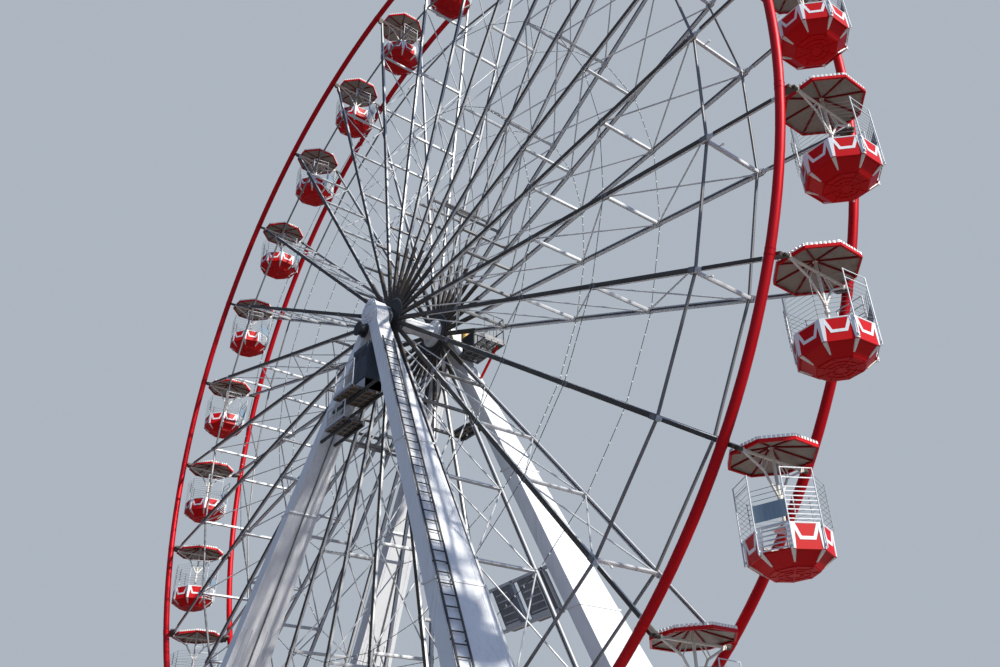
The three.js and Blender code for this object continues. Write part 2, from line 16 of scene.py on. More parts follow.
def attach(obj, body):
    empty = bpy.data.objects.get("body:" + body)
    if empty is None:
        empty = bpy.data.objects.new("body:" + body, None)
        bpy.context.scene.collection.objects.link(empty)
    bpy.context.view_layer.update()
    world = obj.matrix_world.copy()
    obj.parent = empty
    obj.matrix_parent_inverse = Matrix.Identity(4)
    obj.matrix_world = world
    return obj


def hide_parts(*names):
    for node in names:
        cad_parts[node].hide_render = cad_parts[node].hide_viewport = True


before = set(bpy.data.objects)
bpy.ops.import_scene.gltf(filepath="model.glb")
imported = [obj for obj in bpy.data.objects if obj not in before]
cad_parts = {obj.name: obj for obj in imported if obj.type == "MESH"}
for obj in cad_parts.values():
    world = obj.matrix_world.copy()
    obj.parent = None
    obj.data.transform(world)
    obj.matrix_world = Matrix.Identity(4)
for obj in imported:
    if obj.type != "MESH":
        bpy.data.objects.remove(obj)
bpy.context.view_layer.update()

# %% [markdown]
# ## The wheel's driving sizes
# All lengths are metres. The origin is on the ground under the hub, +Z is up and the axle
# lies along Y. The near side is -Y. A "side" is a distance from the wheel's middle plane.

# %% Sizes
HUB_HEIGHT = 19.9
WHEEL_RADIUS = 16.5
CABIN_COUNT = 27
FIRST_CABIN = math.radians(-9.566)
HUB_SIDE = 0.86
TIP_SIDE = 0.985
cabin_angles = FIRST_CABIN + 2 * np.pi * np.arange(CABIN_COUNT) / CABIN_COUNT
print("pivot spacing:", round(2 * WHEEL_RADIUS * math.sin(math.pi / CABIN_COUNT), 3), "m")

# %% [markdown]
# ## The camera
# The picture is taken from the ground, low and close, looking up past the right side of
# the wheel. The camera's place and turn come from the directions of the spokes. A small
# shift of the film plane stands for the crop of the picture.

# %% Camera
CAMERA_PLACE = (23.493, -14.236, 2.940)
CAMERA_YAW, CAMERA_PITCH, CAMERA_ROLL = 0.80956, 0.58206, -0.07866
CAMERA_LENS, FILM_WIDTH = 34.32, 36.0
FILM_SHIFT = (-0.0889, -0.0378)
VIEW_END = 500.0


def new_object(name, data):
    """An object with its data, linked into the scene."""
    made = bpy.data.objects.new(name, data)
    bpy.context.scene.collection.objects.link(made)
    return made


def aim(thing, x_axis, y_axis, z_axis, place):
    """Sets an object's matrix, whose columns are its three axes and its place."""
    columns = [(*x_axis, 0), (*y_axis, 0), (*z_axis, 0), (*place, 1)]
    thing.matrix_world = Matrix(columns).transposed()


def camera_axes(yaw, pitch, roll):
    """The right, up and forward directions of a camera turned left by yaw, up by pitch, then rolled."""
    forward = np.array([
        -math.sin(yaw) * math.cos(pitch), math.cos(yaw) * math.cos(pitch), math.sin(pitch),
    ])
    level = np.array([math.cos(yaw), math.sin(yaw), 0.0])
    upright = np.cross(level, forward)
    right = level * math.cos(roll) + upright * math.sin(roll)
    return right, np.cross(right, forward), forward


camera_data = bpy.data.cameras.new("picture_camera")
camera_data.lens = CAMERA_LENS
camera_data.sensor_width = FILM_WIDTH
camera_data.shift_x, camera_data.shift_y = FILM_SHIFT
camera_data.clip_end = VIEW_END
camera = new_object("picture_camera", camera_data)
right, up, forward = camera_axes(CAMERA_YAW, CAMERA_PITCH, CAMERA_ROLL)
aim(camera, right, up, -forward, CAMERA_PLACE)
bpy.context.scene.camera = camera
print("camera looks along", np.round(forward, 3))

# %% [markdown]
# ## Shapes as arrays
# A shape here is a pair: its points as one (n, 3) array, and a list of face arrays, each
# (m, 3) or (m, 4). Whole shapes are worked out with numpy at once. A long steel machine
# is mostly the same few things again and again, so the main tool is `copies`, which puts
# one small shape at many places with a single product of arrays.

# %% Join and copy shapes
def join(shapes):
    """One shape from many: points in a row, and each one's faces raised by the points before it."""
    points, faces, before = [], [], 0
    for own_points, own_faces in shapes:
        points.append(own_points)
        faces += [face + before for face in own_faces]
        before += len(own_points)
    return np.concatenate(points), faces


def copies(shape, places):
    """The shape at many places: every point times every 4 x 4 matrix, faces raised copy by copy."""
    points, faces = shape
    placed = np.einsum("kij,nj->kni", places[:, :3, :3], points) + places[:, None, :3, 3]
    raised = (np.arange(len(places)) * len(points))[:, None, None]
    return placed.reshape(-1, 3), [(face[None] + raised).reshape(-1, face.shape[1]) for face in faces]


def places_from(x_axis, y_axis, z_axis, origin):
    """4 x 4 matrices whose columns are three axes and an origin, each given as (m, 3) or (3,)."""
    columns = np.broadcast_arrays(*(np.atleast_2d(a) for a in (x_axis, y_axis, z_axis, origin)))
    places = np.zeros((len(columns[0]), 4, 4))
    places[:, :3, :] = np.stack(columns, axis=2)
    places[:, 3, 3] = 1.0
    return places


def copies_at(shape, points):
    """Upright copies of the shape at an array of points."""
    return copies(shape, places_from((1, 0, 0), (0, 1, 0), (0, 0, 1), points))


def shifted(shape, x=0.0, y=0.0, z=0.0):
    """The shape moved without turning: one vector added to all its points."""
    return shape[0] + np.array([x, y, z]), shape[1]


def turned_about_z(shape, angle):
    """The shape turned about Z: x and y mixed by the angle's cosine and sine."""
    cosine, sine = math.cos(angle), math.sin(angle)
    return shape[0] @ np.array([[cosine, sine, 0], [-sine, cosine, 0], [0, 0, 1]]), shape[1]


# %% [markdown]
# ### Sections and prisms
# Rolled steel is a section drawn out straight. A section is an outline of (x, y) points,
# counter-clockwise. The corners of a box section are rounded, because a sharp edge
# catches no light and looks like paper.

# %% Sections and prisms
CORNER_STEPS = 3


def circle(radius, sides):
    """An outline of points at equal steps round a circle."""
    turn = 2 * np.pi * np.arange(sides) / sides
    return radius * np.c_[np.cos(turn), np.sin(turn)]


def box_section(width, depth, corner=0.0):
    """A rectangle's outline, each corner a quarter circle of a few points about its own centre."""
    if not corner:
        return np.array([[-width, -depth], [width, -depth], [width, depth], [-width, depth]]) / 2
    quarter = np.linspace(0, np.pi / 2, CORNER_STEPS)
    turn = np.arange(4 * CORNER_STEPS) // CORNER_STEPS * (np.pi / 2) + np.tile(quarter, 4)
    centre = np.repeat([[1, 1], [-1, 1], [-1, -1], [1, -1]], CORNER_STEPS, axis=0)
    return centre * (np.array([width, depth]) / 2 - corner) + corner * np.c_[np.cos(turn), np.sin(turn)]


def loft(rings):
    """A closed shape through rings of equal counts of points, with a fan of triangles at each end."""
    rings = np.asarray(rings, dtype=float)
    levels, count = rings.shape[:2]
    low = (np.arange(levels - 1) * count)[:, None] + np.arange(count)
    low_next = (np.arange(levels - 1) * count)[:, None] + (np.arange(count) + 1) % count
    walls = np.stack([low, low_next, low_next + count, low + count], axis=2).reshape(-1, 4)
    fan = np.arange(1, count - 1)
    last = (levels - 1) * count
    base = np.c_[np.zeros_like(fan), fan + 1, fan]
    lid = np.c_[np.full_like(fan, last), last + fan, last + fan + 1]
    return rings.reshape(-1, 3), [walls, base, lid]


def prism(section, low=0.0, high=1.0):
    """A section carried straight up from one height to another."""
    return loft([np.c_[section, np.full(len(section), height)] for height in (low, high)])


def block(x, y, z, corner=0.0):
    """A box between pairs of x, y and z, its upright edges rounded."""
    section = box_section(x[1] - x[0], y[1] - y[0], corner)
    return shifted(prism(section, z[0], z[1]), (x[0] + x[1]) / 2, (y[0] + y[1]) / 2)


def rods(starts, ends, section, side=(0.0, 1.0, 0.0)):
    """Straight rods: the section's Z runs from start to end, and its Y keeps towards `side`."""
    starts, ends = np.atleast_2d(starts).astype(float), np.atleast_2d(ends).astype(float)
    along = ends - starts
    direction = along / np.linalg.norm(along, axis=1)[:, None]
    steep = np.abs(direction @ np.asarray(side)) > 0.95
    keep = np.where(steep[:, None], np.roll(side, 1), np.asarray(side))
    across = np.cross(keep, direction)
    across /= np.linalg.norm(across, axis=1)[:, None]
    return copies(prism(section), places_from(across, np.cross(direction, across), along, starts))


# %% [markdown]
# ### Turned shapes and rings
# Shafts, bulbs and canopies are a profile turned about an axis. Where the profile starts
# or ends on the axis we use one point and a fan of triangles, so that the pole is closed.

# %% Turned shapes and rings
RING_STEPS, SMALL_RING_STEPS = 48, 24
BOLT_RADIUS = 0.022


def turned(profile, steps, turn=0.0):
    """A profile of (radius, height) from the lower pole to the upper one, turned about Z."""
    profile = np.asarray(profile, dtype=float)
    angle = turn + 2 * np.pi * np.arange(steps) / steps
    rings = np.stack(np.broadcast_arrays(
        profile[1:-1, None, 0] * np.cos(angle),
        profile[1:-1, None, 0] * np.sin(angle),
        profile[1:-1, None, 1],
    ), axis=2)
    points, (walls, _, _) = loft(rings)
    here = np.arange(steps)
    beyond = (here + 1) % steps
    last = len(points) - steps
    low_pole, high_pole = len(points), len(points) + 1
    poles = np.array([[0, 0, profile[0, 1]], [0, 0, profile[-1, 1]]])
    below = np.c_[beyond, here, np.full(steps, low_pole)]
    above = np.c_[last + here, last + beyond, np.full(steps, high_pole)]
    return np.concatenate([points, poles]), [walls, below, above]


def hoop(section, radius, steps):
    """A section of (radial, sideways) offsets carried round the Y axis, closed on itself."""
    section = np.asarray(section, dtype=float)
    angle = (2 * np.pi * np.arange(steps) / steps)[:, None]
    reach = radius + section[:, 0]
    points = np.stack(np.broadcast_arrays(
        reach * np.cos(angle), section[:, 1] + 0 * angle, reach * np.sin(angle),
    ), axis=2)
    count = len(section)
    here = np.arange(steps * count).reshape(steps, count)
    beyond = np.roll(here, -1, axis=0)
    faces = np.stack([here, np.roll(here, -1, axis=1), np.roll(beyond, -1, axis=1), beyond], axis=2)
    return points.reshape(-1, 3), [faces.reshape(-1, 4)]


def hoop_about_z(section, radius):
    """The same ring round the Z axis: the hoop's y and z change places, and its faces turn round."""
    points, faces = hoop(section, radius, SMALL_RING_STEPS)
    return points[:, [0, 2, 1]], [corners[:, ::-1] for corners in faces]


def lying_along_y(shape):
    """The shape with its Z axis laid along Y: (x, y, z) becomes (x, z, -y)."""
    return shape[0][:, [0, 2, 1]] * np.array([1, 1, -1]), shape[1]


def bolt_circle(radius, count, side, proud):
    """Hexagonal heads at equal steps round the Y axis, standing out from `side` towards +Y."""
    x, z = circle(radius, count).T
    heads = np.c_[x, np.full(count, side), z]
    return rods(heads, heads + [0, proud, 0], circle(BOLT_RADIUS, 6))


def at_hub(shape):
    """A shape drawn round the origin, raised to the hub's centre."""
    return shifted(shape, z=HUB_HEIGHT)


# %% [markdown]
# ### From arrays to an object
# `mesh_from` writes the arrays straight into a mesh with foreach_set, which is far quicker
# than adding faces one at a time. In `put`, faces are smooth where they meet at a small
# angle, and each object rides on the body of the frame that carries it.

# %% Put a piece into the scene
SMOOTH_ANGLE = math.radians(32)


def mesh_from(name, points, faces, paint_index):
    """A mesh from arrays, with one paint index a face; returns it and its count of triangles."""
    sizes = np.concatenate([np.full(len(face), face.shape[1]) for face in faces])
    mesh = bpy.data.meshes.new(name)
    mesh.vertices.add(len(points))
    mesh.loops.add(int(sizes.sum()))
    mesh.polygons.add(len(sizes))
    mesh.vertices.foreach_set("co", points.astype(np.float32).ravel())
    mesh.loops.foreach_set("vertex_index", np.concatenate([face.ravel() for face in faces]).astype(np.int32))
    mesh.polygons.foreach_set("loop_start", (np.cumsum(sizes) - sizes).astype(np.int32))
    mesh.polygons.foreach_set("material_index", paint_index.astype(np.int32))
    mesh.polygons.foreach_set("use_smooth", np.ones(len(sizes), dtype=bool))
    mesh.update(calc_edges=True)
    return mesh, int((sizes - 2).sum())


def put(name, parts, body, replaced=(), smooth=SMOOTH_ANGLE):
    """A mesh object from (shape, material) pairs, riding on `body`, standing for the CAD nodes `replaced`."""
    points, faces = join([shape for shape, _ in parts])
    materials = list(dict.fromkeys(material for _, material in parts))
    paint_index = np.concatenate([
        np.full(sum(len(face) for face in shape[1]), materials.index(material)) for shape, material in parts
    ])
    mesh, triangles = mesh_from(name, points, faces, paint_index)
    mesh.set_sharp_from_angle(angle=smooth)
    for material in materials:
        mesh.materials.append(material)
    piece = new_object(name, mesh)
    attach(piece, body)
    if replaced:
        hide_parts(*replaced)
    return triangles


def finish_node(name, material):
    """A CAD node keeps its mesh and gets a better material in its first slot."""
    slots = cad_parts[name].data.materials
    if len(slots):
        slots[0] = material
    else:
        slots.append(material)


# %% [markdown]
# ## Weather, as shader groups
# Paint and zinc that stand outdoors all year age in the same few ways: rain draws grey
# streaks down them, large soft patches fade, dust settles on what faces up, and rust
# starts in spots. Each of these is one node group with named inputs, built once and used
# in many materials with their own values. All patterns read Object coordinates, so they
# stay on the steel when the wheel turns.

# %% Group helpers
def new_group(name, inputs, outputs):
    """A shader group with named float or colour sockets; returns the tree, its inputs and its outputs."""
    tree = bpy.data.node_groups.new(name, "ShaderNodeTree")
    for label, default in inputs.items():
        kind = "NodeSocketFloat" if isinstance(default, (int, float)) else "NodeSocketColor"
        tree.interface.new_socket(label, in_out="INPUT", socket_type=kind).default_value = default
    for label, kind in outputs.items():
        tree.interface.new_socket(label, in_out="OUTPUT", socket_type=kind)
    return tree, tree.nodes.new("NodeGroupInput").outputs, tree.nodes.new("NodeGroupOutput").inputs


def node(tree, kind, values=None, **settings):
    """A node with its settings, and its inputs given as numbers, colours or links from other nodes."""
    made = tree.nodes.new(kind)
    for key, value in settings.items():
        setattr(made, key, value)
    for key, value in (values or {}).items():
        if isinstance(value, bpy.types.NodeSocket):
            tree.links.new(value, made.inputs[key])
        else:
            made.inputs[key].default_value = value
    return made


def math_node(tree, operation, first, second=0.0, clamp=False):
    """One step of arithmetic on two numbers or links."""
    values = {0: first, 1: second}
    return node(tree, "ShaderNodeMath", values, operation=operation, use_clamp=clamp).outputs[0]


def color_mix(tree, share, below, above):
    """A colour laid over another by a share; 0, 6 and 7 are the Mix node's share and colours."""
    values = {0: share, 6: below, 7: above}
    return node(tree, "ShaderNodeMix", values, data_type="RGBA").outputs[2]


def noise(tree, stretch, scale, detail=4.0):
    """Noise on Object coordinates, which a Mapping node stretches along each axis."""
    place = node(tree, "ShaderNodeTexCoord").outputs["Object"]
    stretched = node(tree, "ShaderNodeMapping", {"Vector": place, "Scale": stretch}).outputs[0]
    values = {"Vector": stretched, "Scale": scale, "Detail": detail}
    return node(tree, "ShaderNodeTexNoise", values).outputs[0]


def ramp(tree, value, low, high, to_low=0.0, to_high=1.0):
    """The value between low and high, spread between two others and clamped."""
    values = {"Value": value, "From Min": low, "From Max": high, "To Min": to_low, "To Max": to_high}
    return node(tree, "ShaderNodeMapRange", values, clamp=True).outputs["Result"]


# %% [markdown]
# ### Rain streaks
# A streak is long down the wall and narrow across it. Noise squeezed in X and Y and drawn
# out in Z gives that, and a second, coarser noise breaks the streaks up so that some
# places stay clean.

# %% Rain streaks
def rain_streaks_group():
    """Mask = fine noise drawn out along Z, times coarse noise, times the amount."""
    tree, given, out = new_group(
        "rain_streaks", {"Amount": 0.5, "Width": 14.0}, {"Mask": "NodeSocketFloat"},
    )
    fine = noise(tree, (1.0, 1.0, 0.05), given["Width"], 3.0)
    coarse = noise(tree, (1.0, 1.0, 0.4), 0.9, 2.0)
    streak = math_node(tree, "MULTIPLY", ramp(tree, fine, 0.45, 0.72), ramp(tree, coarse, 0.38, 0.62))
    tree.links.new(math_node(tree, "MULTIPLY", streak, given["Amount"], True), out["Mask"])
    return tree


rain_streaks = rain_streaks_group()
print("group:", rain_streaks.name)

# %% [markdown]
# ### Faded patches and orange peel
# Sun-bleached paint is never one colour. This group shifts the colour towards a faded
# one in soft clouds, and gives a fine height for the skin of the paint.

# %% Faded paint
def faded_paint_group():
    """Colour = base mixed with faded by cloudy noise; height = very fine noise."""
    inputs = {"Base": (0.5, 0.5, 0.5, 1), "Faded": (0.6, 0.6, 0.6, 1), "Amount": 0.5}
    outputs = {"Color": "NodeSocketColor", "Height": "NodeSocketFloat"}
    tree, given, out = new_group("faded_paint", inputs, outputs)
    clouds = ramp(tree, noise(tree, (1, 1, 1), 1.3, 6.0), 0.35, 0.7)
    share = math_node(tree, "MULTIPLY", clouds, given["Amount"], True)
    tree.links.new(color_mix(tree, share, given["Base"], given["Faded"]), out["Color"])
    tree.links.new(noise(tree, (1, 1, 1), 90.0, 2.0), out["Height"])
    return tree


faded_paint = faded_paint_group()
print("group:", faded_paint.name)

# %% [markdown]
# ### Dust on top, and rust in spots
# Dust lies where the surface faces up, so its mask starts from the Z part of the normal.
# Rust spots come from noise with a high threshold, which leaves only its peaks.

# %% Dust and rust
def settled_dust_group():
    """Mask = how far the face looks up, broken by noise, times the amount."""
    tree, given, out = new_group("settled_dust", {"Amount": 0.5}, {"Mask": "NodeSocketFloat"})
    normal = node(tree, "ShaderNodeNewGeometry").outputs["Normal"]
    height = node(tree, "ShaderNodeSeparateXYZ", {0: normal}).outputs["Z"]
    patches = ramp(tree, noise(tree, (1, 1, 1), 5.0, 5.0), 0.3, 0.75, 0.35, 1.0)
    mask = math_node(tree, "MULTIPLY", ramp(tree, height, 0.2, 0.95), patches)
    tree.links.new(math_node(tree, "MULTIPLY", mask, given["Amount"], True), out["Mask"])
    return tree


def rust_spots_group():
    """Mask = the peaks of noise above a threshold that falls as the amount grows."""
    tree, given, out = new_group("rust_spots", {"Amount": 0.3, "Scale": 9.0}, {"Mask": "NodeSocketFloat"})
    grain = noise(tree, (1, 1, 0.6), given["Scale"], 8.0)
    start = math_node(tree, "SUBTRACT", 0.78, math_node(tree, "MULTIPLY", given["Amount"], 0.25))
    above = math_node(tree, "MULTIPLY", math_node(tree, "SUBTRACT", grain, start), 9.0, True)
    tree.links.new(above, out["Mask"])
    return tree


settled_dust = settled_dust_group()
rust_spots = rust_spots_group()
print("groups:", settled_dust.name, rust_spots.name)

# %% [markdown]
# ## Finishes
# One recipe makes every painted or galvanised finish: the base colour fades in patches,
# grime runs down in streaks, dust settles on top and rust breaks through in spots. Each
# layer also changes the roughness, since clean paint shines and dirt doesn't.

# %% The weathered finish
GRIME = (0.055, 0.050, 0.042, 1)
DUST = (0.34, 0.31, 0.27, 1)
RUST = (0.18, 0.052, 0.018, 1)
DIRT_ROUGHNESS = 0.85
PEEL_DEPTH = 0.002


def group_node(tree, group, values):
    """A group node whose named inputs are set."""
    made = tree.nodes.new("ShaderNodeGroup")
    made.node_tree = group
    for key, value in values.items():
        made.inputs[key].default_value = value
    return made


def dirt_layers(tree, color, amounts):
    """Streaks, dust and rust laid over a colour in turn; returns the colour and the highest mask."""
    masks = [
        group_node(tree, group, {"Amount": amount}).outputs["Mask"]
        for group, amount in zip((rain_streaks, settled_dust, rust_spots), amounts)
    ]
    for mask, tint in zip(masks, (GRIME, DUST, RUST)):
        color = color_mix(tree, mask, color, tint)
    return color, math_node(tree, "MAXIMUM", math_node(tree, "MAXIMUM", *masks[:2]), masks[2])


def weathered(name, base, faded, fade, streaks, dust, rust, roughness,
              metallic=0.0, coat=0.0, gloss=0.5, peel=0.15):
    """A Principled material: faded colour, then streaks, dust and rust over it, rougher where dirty.
    Fade, streaks, dust and rust are the groups' amounts, and peel is the strength of the fine bump."""
    material = bpy.data.materials.new(name)
    material.use_nodes = True
    tree = material.node_tree
    shader = tree.nodes["Principled BSDF"]
    paint = group_node(tree, faded_paint, {"Base": (*base, 1), "Faded": (*faded, 1), "Amount": fade})
    color, dirt = dirt_layers(tree, paint.outputs["Color"], (streaks, dust, rust))
    tree.links.new(color, shader.inputs["Base Color"])
    tree.links.new(ramp(tree, dirt, 0.0, 1.0, roughness, DIRT_ROUGHNESS), shader.inputs["Roughness"])
    shader.inputs["Metallic"].default_value = metallic
    shader.inputs["Coat Weight"].default_value = coat
    shader.inputs["Specular IOR Level"].default_value = gloss
    skin = {"Height": paint.outputs["Height"], "Strength": peel, "Distance": PEEL_DEPTH}
    bump = node(tree, "ShaderNodeBump", skin)
    tree.links.new(bump.outputs["Normal"], shader.inputs["Normal"])
    return material


print("recipe ready: paint, then streaks, dust and rust")

# %% [markdown]
# ### Paints
# The rims' red has some metal in it: the shaded side of the tube goes deep and the sunny
# side stays bright. The tubs' red is plain and duller, and the fences are an older white
# than the legs.

# %% Painted finishes
rim_paint = weathered(
    "red_gloss_paint", (0.48, 0.001, 0.006), (0.54, 0.002, 0.010),
    fade=0.5, streaks=0.05, dust=0.03, rust=0.02, roughness=0.42, metallic=0.45, gloss=0.3)
red_paint = weathered(
    "red_tub_paint", (0.50, 0.003, 0.005), (0.54, 0.005, 0.008),
    fade=0.5, streaks=0.12, dust=0.05, rust=0.02, roughness=0.40, gloss=0.15)
deep_red = weathered(
    "deep_red_paint", (0.20, 0.003, 0.007), (0.25, 0.006, 0.011),
    fade=0.5, streaks=0.2, dust=0.15, rust=0.04, roughness=0.42, gloss=0.2)
white_paint = weathered(
    "white_steel_paint", (0.78, 0.79, 0.80), (0.70, 0.71, 0.71),
    fade=0.5, streaks=0.16, dust=0.15, rust=0.05, roughness=0.36)
cream_paint = weathered(
    "cream_paint", (0.72, 0.69, 0.62), (0.62, 0.58, 0.50),
    fade=0.6, streaks=0.2, dust=0.15, rust=0.06, roughness=0.40)
fence_paint = weathered(
    "dull_white_paint", (0.56, 0.58, 0.60), (0.48, 0.50, 0.51),
    fade=0.5, streaks=0.2, dust=0.1, rust=0.08, roughness=0.42)
gate_paint = weathered(
    "blue_grey_paint", (0.19, 0.27, 0.34), (0.25, 0.32, 0.38),
    fade=0.6, streaks=0.2, dust=0.1, rust=0.04, roughness=0.5)
machine_paint = weathered(
    "machine_paint", (0.045, 0.058, 0.074), (0.08, 0.09, 0.10),
    fade=0.7, streaks=0.4, dust=0.3, rust=0.2, roughness=0.5)
yellow_paint = weathered(
    "yellow_drive_paint", (0.62, 0.36, 0.07), (0.55, 0.38, 0.16),
    fade=0.5, streaks=0.4, dust=0.2, rust=0.15, roughness=0.45)
print("painted finishes ready")

# %% [markdown]
# ### Zinc, dark steel and the rest
# The spokes are hot-dip galvanised. Fresh zinc shows spangles, but after a few seasons it
# is a dull blue-grey with pale bloom, so the recipe above does it with more metal and
# more roughness. The ladder and the decks' bearers are nearly black with old grease, and
# the hub's flanges take the same near-black as painted shade, deep among the spokes'
# roots. The dark channels down the spokes are painted shade, a little paler, and the
# sleeves round the spokes' roots are dark brown with rust spots. The canopies are lined
# in a dull beige, and the bulbs are milky glass.

# %% Metal finishes
zinc = weathered(
    "galvanised_zinc", (0.54, 0.55, 0.56), (0.60, 0.61, 0.61),
    fade=0.7, streaks=0.25, dust=0.15, rust=0.12, roughness=0.45, metallic=0.25, peel=0.3)
old_zinc = weathered(
    "stained_zinc", (0.17, 0.17, 0.175), (0.25, 0.245, 0.24),
    fade=0.7, streaks=0.3, dust=0.2, rust=0.25, roughness=0.5, metallic=0.3, peel=0.3)
# Near-black steel: old grease on the ladder, bearers, cables and reel, and painted shade on the hub's
# flanges.
dark_steel = weathered(
    "greasy_steel_and_painted_shade", (0.030, 0.031, 0.034), (0.06, 0.057, 0.052),
    fade=0.6, streaks=0.3, dust=0.3, rust=0.35, roughness=0.5, metallic=0.3, peel=0.4)
# The dark channels down the spokes are painted shade in this steel; the pivot brackets share it.
channel_steel = weathered(
    "channel_steel", (0.056, 0.047, 0.037), (0.10, 0.088, 0.070),
    fade=0.7, streaks=0.3, dust=0.3, rust=0.3, roughness=0.5, metallic=0.3, peel=0.4)
# The sleeves are dark brown, which darkens the beams near the hub, with rust spots over it.
dark_brown_steel = weathered(
    "dark_brown_sleeve_steel", (0.046, 0.037, 0.030), (0.080, 0.056, 0.040),
    fade=0.7, streaks=0.3, dust=0.3, rust=0.42, roughness=0.6, metallic=0.2, peel=0.5)
tread_plate = weathered(
    "tread_plate", (0.34, 0.34, 0.33), (0.42, 0.41, 0.39),
    fade=0.7, streaks=0.2, dust=0.4, rust=0.2, roughness=0.4, metallic=0.7)
print("metal finishes ready")

# %% Boards, lining and glass
planks = weathered(
    "stained_planks", (0.22, 0.13, 0.07), (0.30, 0.19, 0.11),
    fade=0.8, streaks=0.4, dust=0.2, rust=0.1, roughness=0.75, peel=0.6)
lining = weathered(
    "canopy_lining", (0.27, 0.24, 0.20), (0.34, 0.30, 0.25),
    fade=0.8, streaks=0.3, dust=0.1, rust=0.05, roughness=0.6, peel=0.5)
bulb_glass = weathered(
    "bulb_glass", (0.86, 0.85, 0.80), (0.78, 0.76, 0.70),
    fade=0.4, streaks=0.15, dust=0.1, rust=0.0, roughness=0.15, coat=0.6)
print("other finishes ready")

# %% [markdown]
# ## The spokes
# Each side of the wheel is a fan of 27 box beams bolted to a flange on the hub. They are
# drawn once, upright over the hub in a frame of their own (X tangential, Y sideways, Z
# radial), and copied to the 27 angles. A straight beam is only a section and two ends, so
# a loft is enough, and the details go where the eye looks for them: dark channels of
# painted shade down both faces, bolted plates where the cross bars meet the beams, a dark
# brown sleeve round the root, and the bearing that holds the cabin's pivot.

# %% Frames of the 27 spokes
hub_centre = np.array([0.0, 0.0, HUB_HEIGHT])
radial = np.c_[np.cos(cabin_angles), np.zeros(CABIN_COUNT), np.sin(cabin_angles)]
tangential = np.c_[np.sin(cabin_angles), np.zeros(CABIN_COUNT), -np.cos(cabin_angles)]
spoke_places = places_from(tangential, (0.0, 1.0, 0.0), radial, hub_centre)


def spoke_side(radius):
    """Distance of a spoke's middle line from the wheel's middle plane, growing evenly with the radius."""
    return HUB_SIDE + (TIP_SIDE - HUB_SIDE) * radius / WHEEL_RADIUS


print("spoke side at the hub and the tip:", HUB_SIDE, TIP_SIDE)

# %% One side's spokes
SPOKE_START, SPOKE_END = 0.64, 16.2
INNER_SPOKE, OUTER_SPOKE = (0.13, 0.075), (0.095, 0.060)
BLOCK_SIDES = (0.93, 1.15)
CROSS_RADII = (7.54, 10.56, 13.94)
INNERMOST_BAR = 4.2
STEP_RADIUS = CROSS_RADII[2] + 0.18
SLEEVE, SLEEVE_RADII = (0.142, 0.088), (0.72, 2.5)
# The channels are dark strips of painted shade down the beams' faces, wide on the outer face and narrow on
# the inner one.
CHANNEL_START, CHANNEL_STEP, CHANNEL_END = 2.45, CROSS_RADII[2] + 0.3, 15.9
CHANNEL_DEPTH, CHANNEL_CORNER = 0.014, 0.003
CHANNEL_WIDTHS = {1: (0.122, 0.088), -1: (0.042, 0.034)}
PLATE_HALF, PLATE_REACH, PLATE_CORNER = 0.072, 0.10, 0.004
BOLT_HEAD = circle(0.017, 6)
FACES = {"near": -1, "far": 1}


def facing(face, shape):
    """The shape mirrored to the near side when face is -1, with its faces turned round to stay outward."""
    if face > 0:
        return shape
    return shape[0] * np.array([1, -1, 1]), [corners[:, ::-1] for corners in shape[1]]


def along_spoke(size, radii, corner=0.014, beside=0.0):
    """A section carried between radii, each end moved to the side that the spoke has there."""
    section = box_section(*size, corner)
    return loft([
        np.c_[section + [0, spoke_side(radius) + beside], np.full(len(section), radius)] for radius in radii
    ])


def spoke_beam():
    """The thick inner beam, and the thinner one beyond the outermost cross bars."""
    return join([
        along_spoke(INNER_SPOKE, (SPOKE_START, STEP_RADIUS)),
        along_spoke(OUTER_SPOKE, (STEP_RADIUS - 0.1, SPOKE_END)),
    ])


def painted_shade_channels():
    """Dark channels of painted shade: wide ones over the beam's outer face, narrow ones down its inner face.
    """
    channels = []
    for beside, (width, end_width) in CHANNEL_WIDTHS.items():
        for size, radii, off in (
            ((width, CHANNEL_DEPTH), (CHANNEL_START, CROSS_RADII[2]), 0.0415),
            ((end_width, CHANNEL_DEPTH), (CHANNEL_STEP, CHANNEL_END), 0.0345),
        ):
            channels.append(along_spoke(size, radii, CHANNEL_CORNER, beside * off))
    return join(channels)


def plate_at(radius, low_side, high_side, half=PLATE_HALF, reach=PLATE_REACH):
    """A flat plate across a beam at a radius, between two sides."""
    return block((-half, half), (low_side, high_side), (radius - reach, radius + reach), PLATE_CORNER)


def joint_plates(radius):
    """Two bolted plates across the beam at a cross bar, and four bolt heads on the outer one."""
    side = spoke_side(radius)
    outer = plate_at(radius, side + 0.037, side + 0.052)
    inner = plate_at(radius, side - 0.052, side - 0.037)
    x, z = [a.ravel() for a in np.meshgrid([-0.045, 0.045], radius + np.array([-0.065, 0.065]))]
    heads = np.c_[x, np.full(4, side + 0.050), z]
    return [outer, inner, rods(heads, heads + [0, 0.016, 0], BOLT_HEAD)]


def pivot_bearing():
    """The bracket from the spoke's end to the rim, and the small round housing of the pivot on it."""
    low, high = BLOCK_SIDES
    bracket = block((-0.040, 0.040), (low + 0.002, high), (16.14, 16.47), 0.012)
    housing = prism(circle(0.045, 20), low, low + 0.11)
    cap = prism(circle(0.030, 16), low + 0.11, low + 0.13)
    return [bracket] + [shifted(lying_along_y(part), z=WHEEL_RADIUS) for part in (housing, cap)]


def side_of_spokes(face):
    """One side's fan in 27 places: zinc beams, dark brackets and channels of painted shade, dark brown
    sleeves, stained plates.
    """
    plates = []
    for radius in (INNERMOST_BAR, *CROSS_RADII):
        plates += joint_plates(radius)
    sleeve = along_spoke(SLEEVE, SLEEVE_RADII)
    shapes = (spoke_beam(), join([painted_shade_channels(), *pivot_bearing()]), sleeve, join(plates))
    return [copies(facing(face, shape), spoke_places) for shape in shapes]


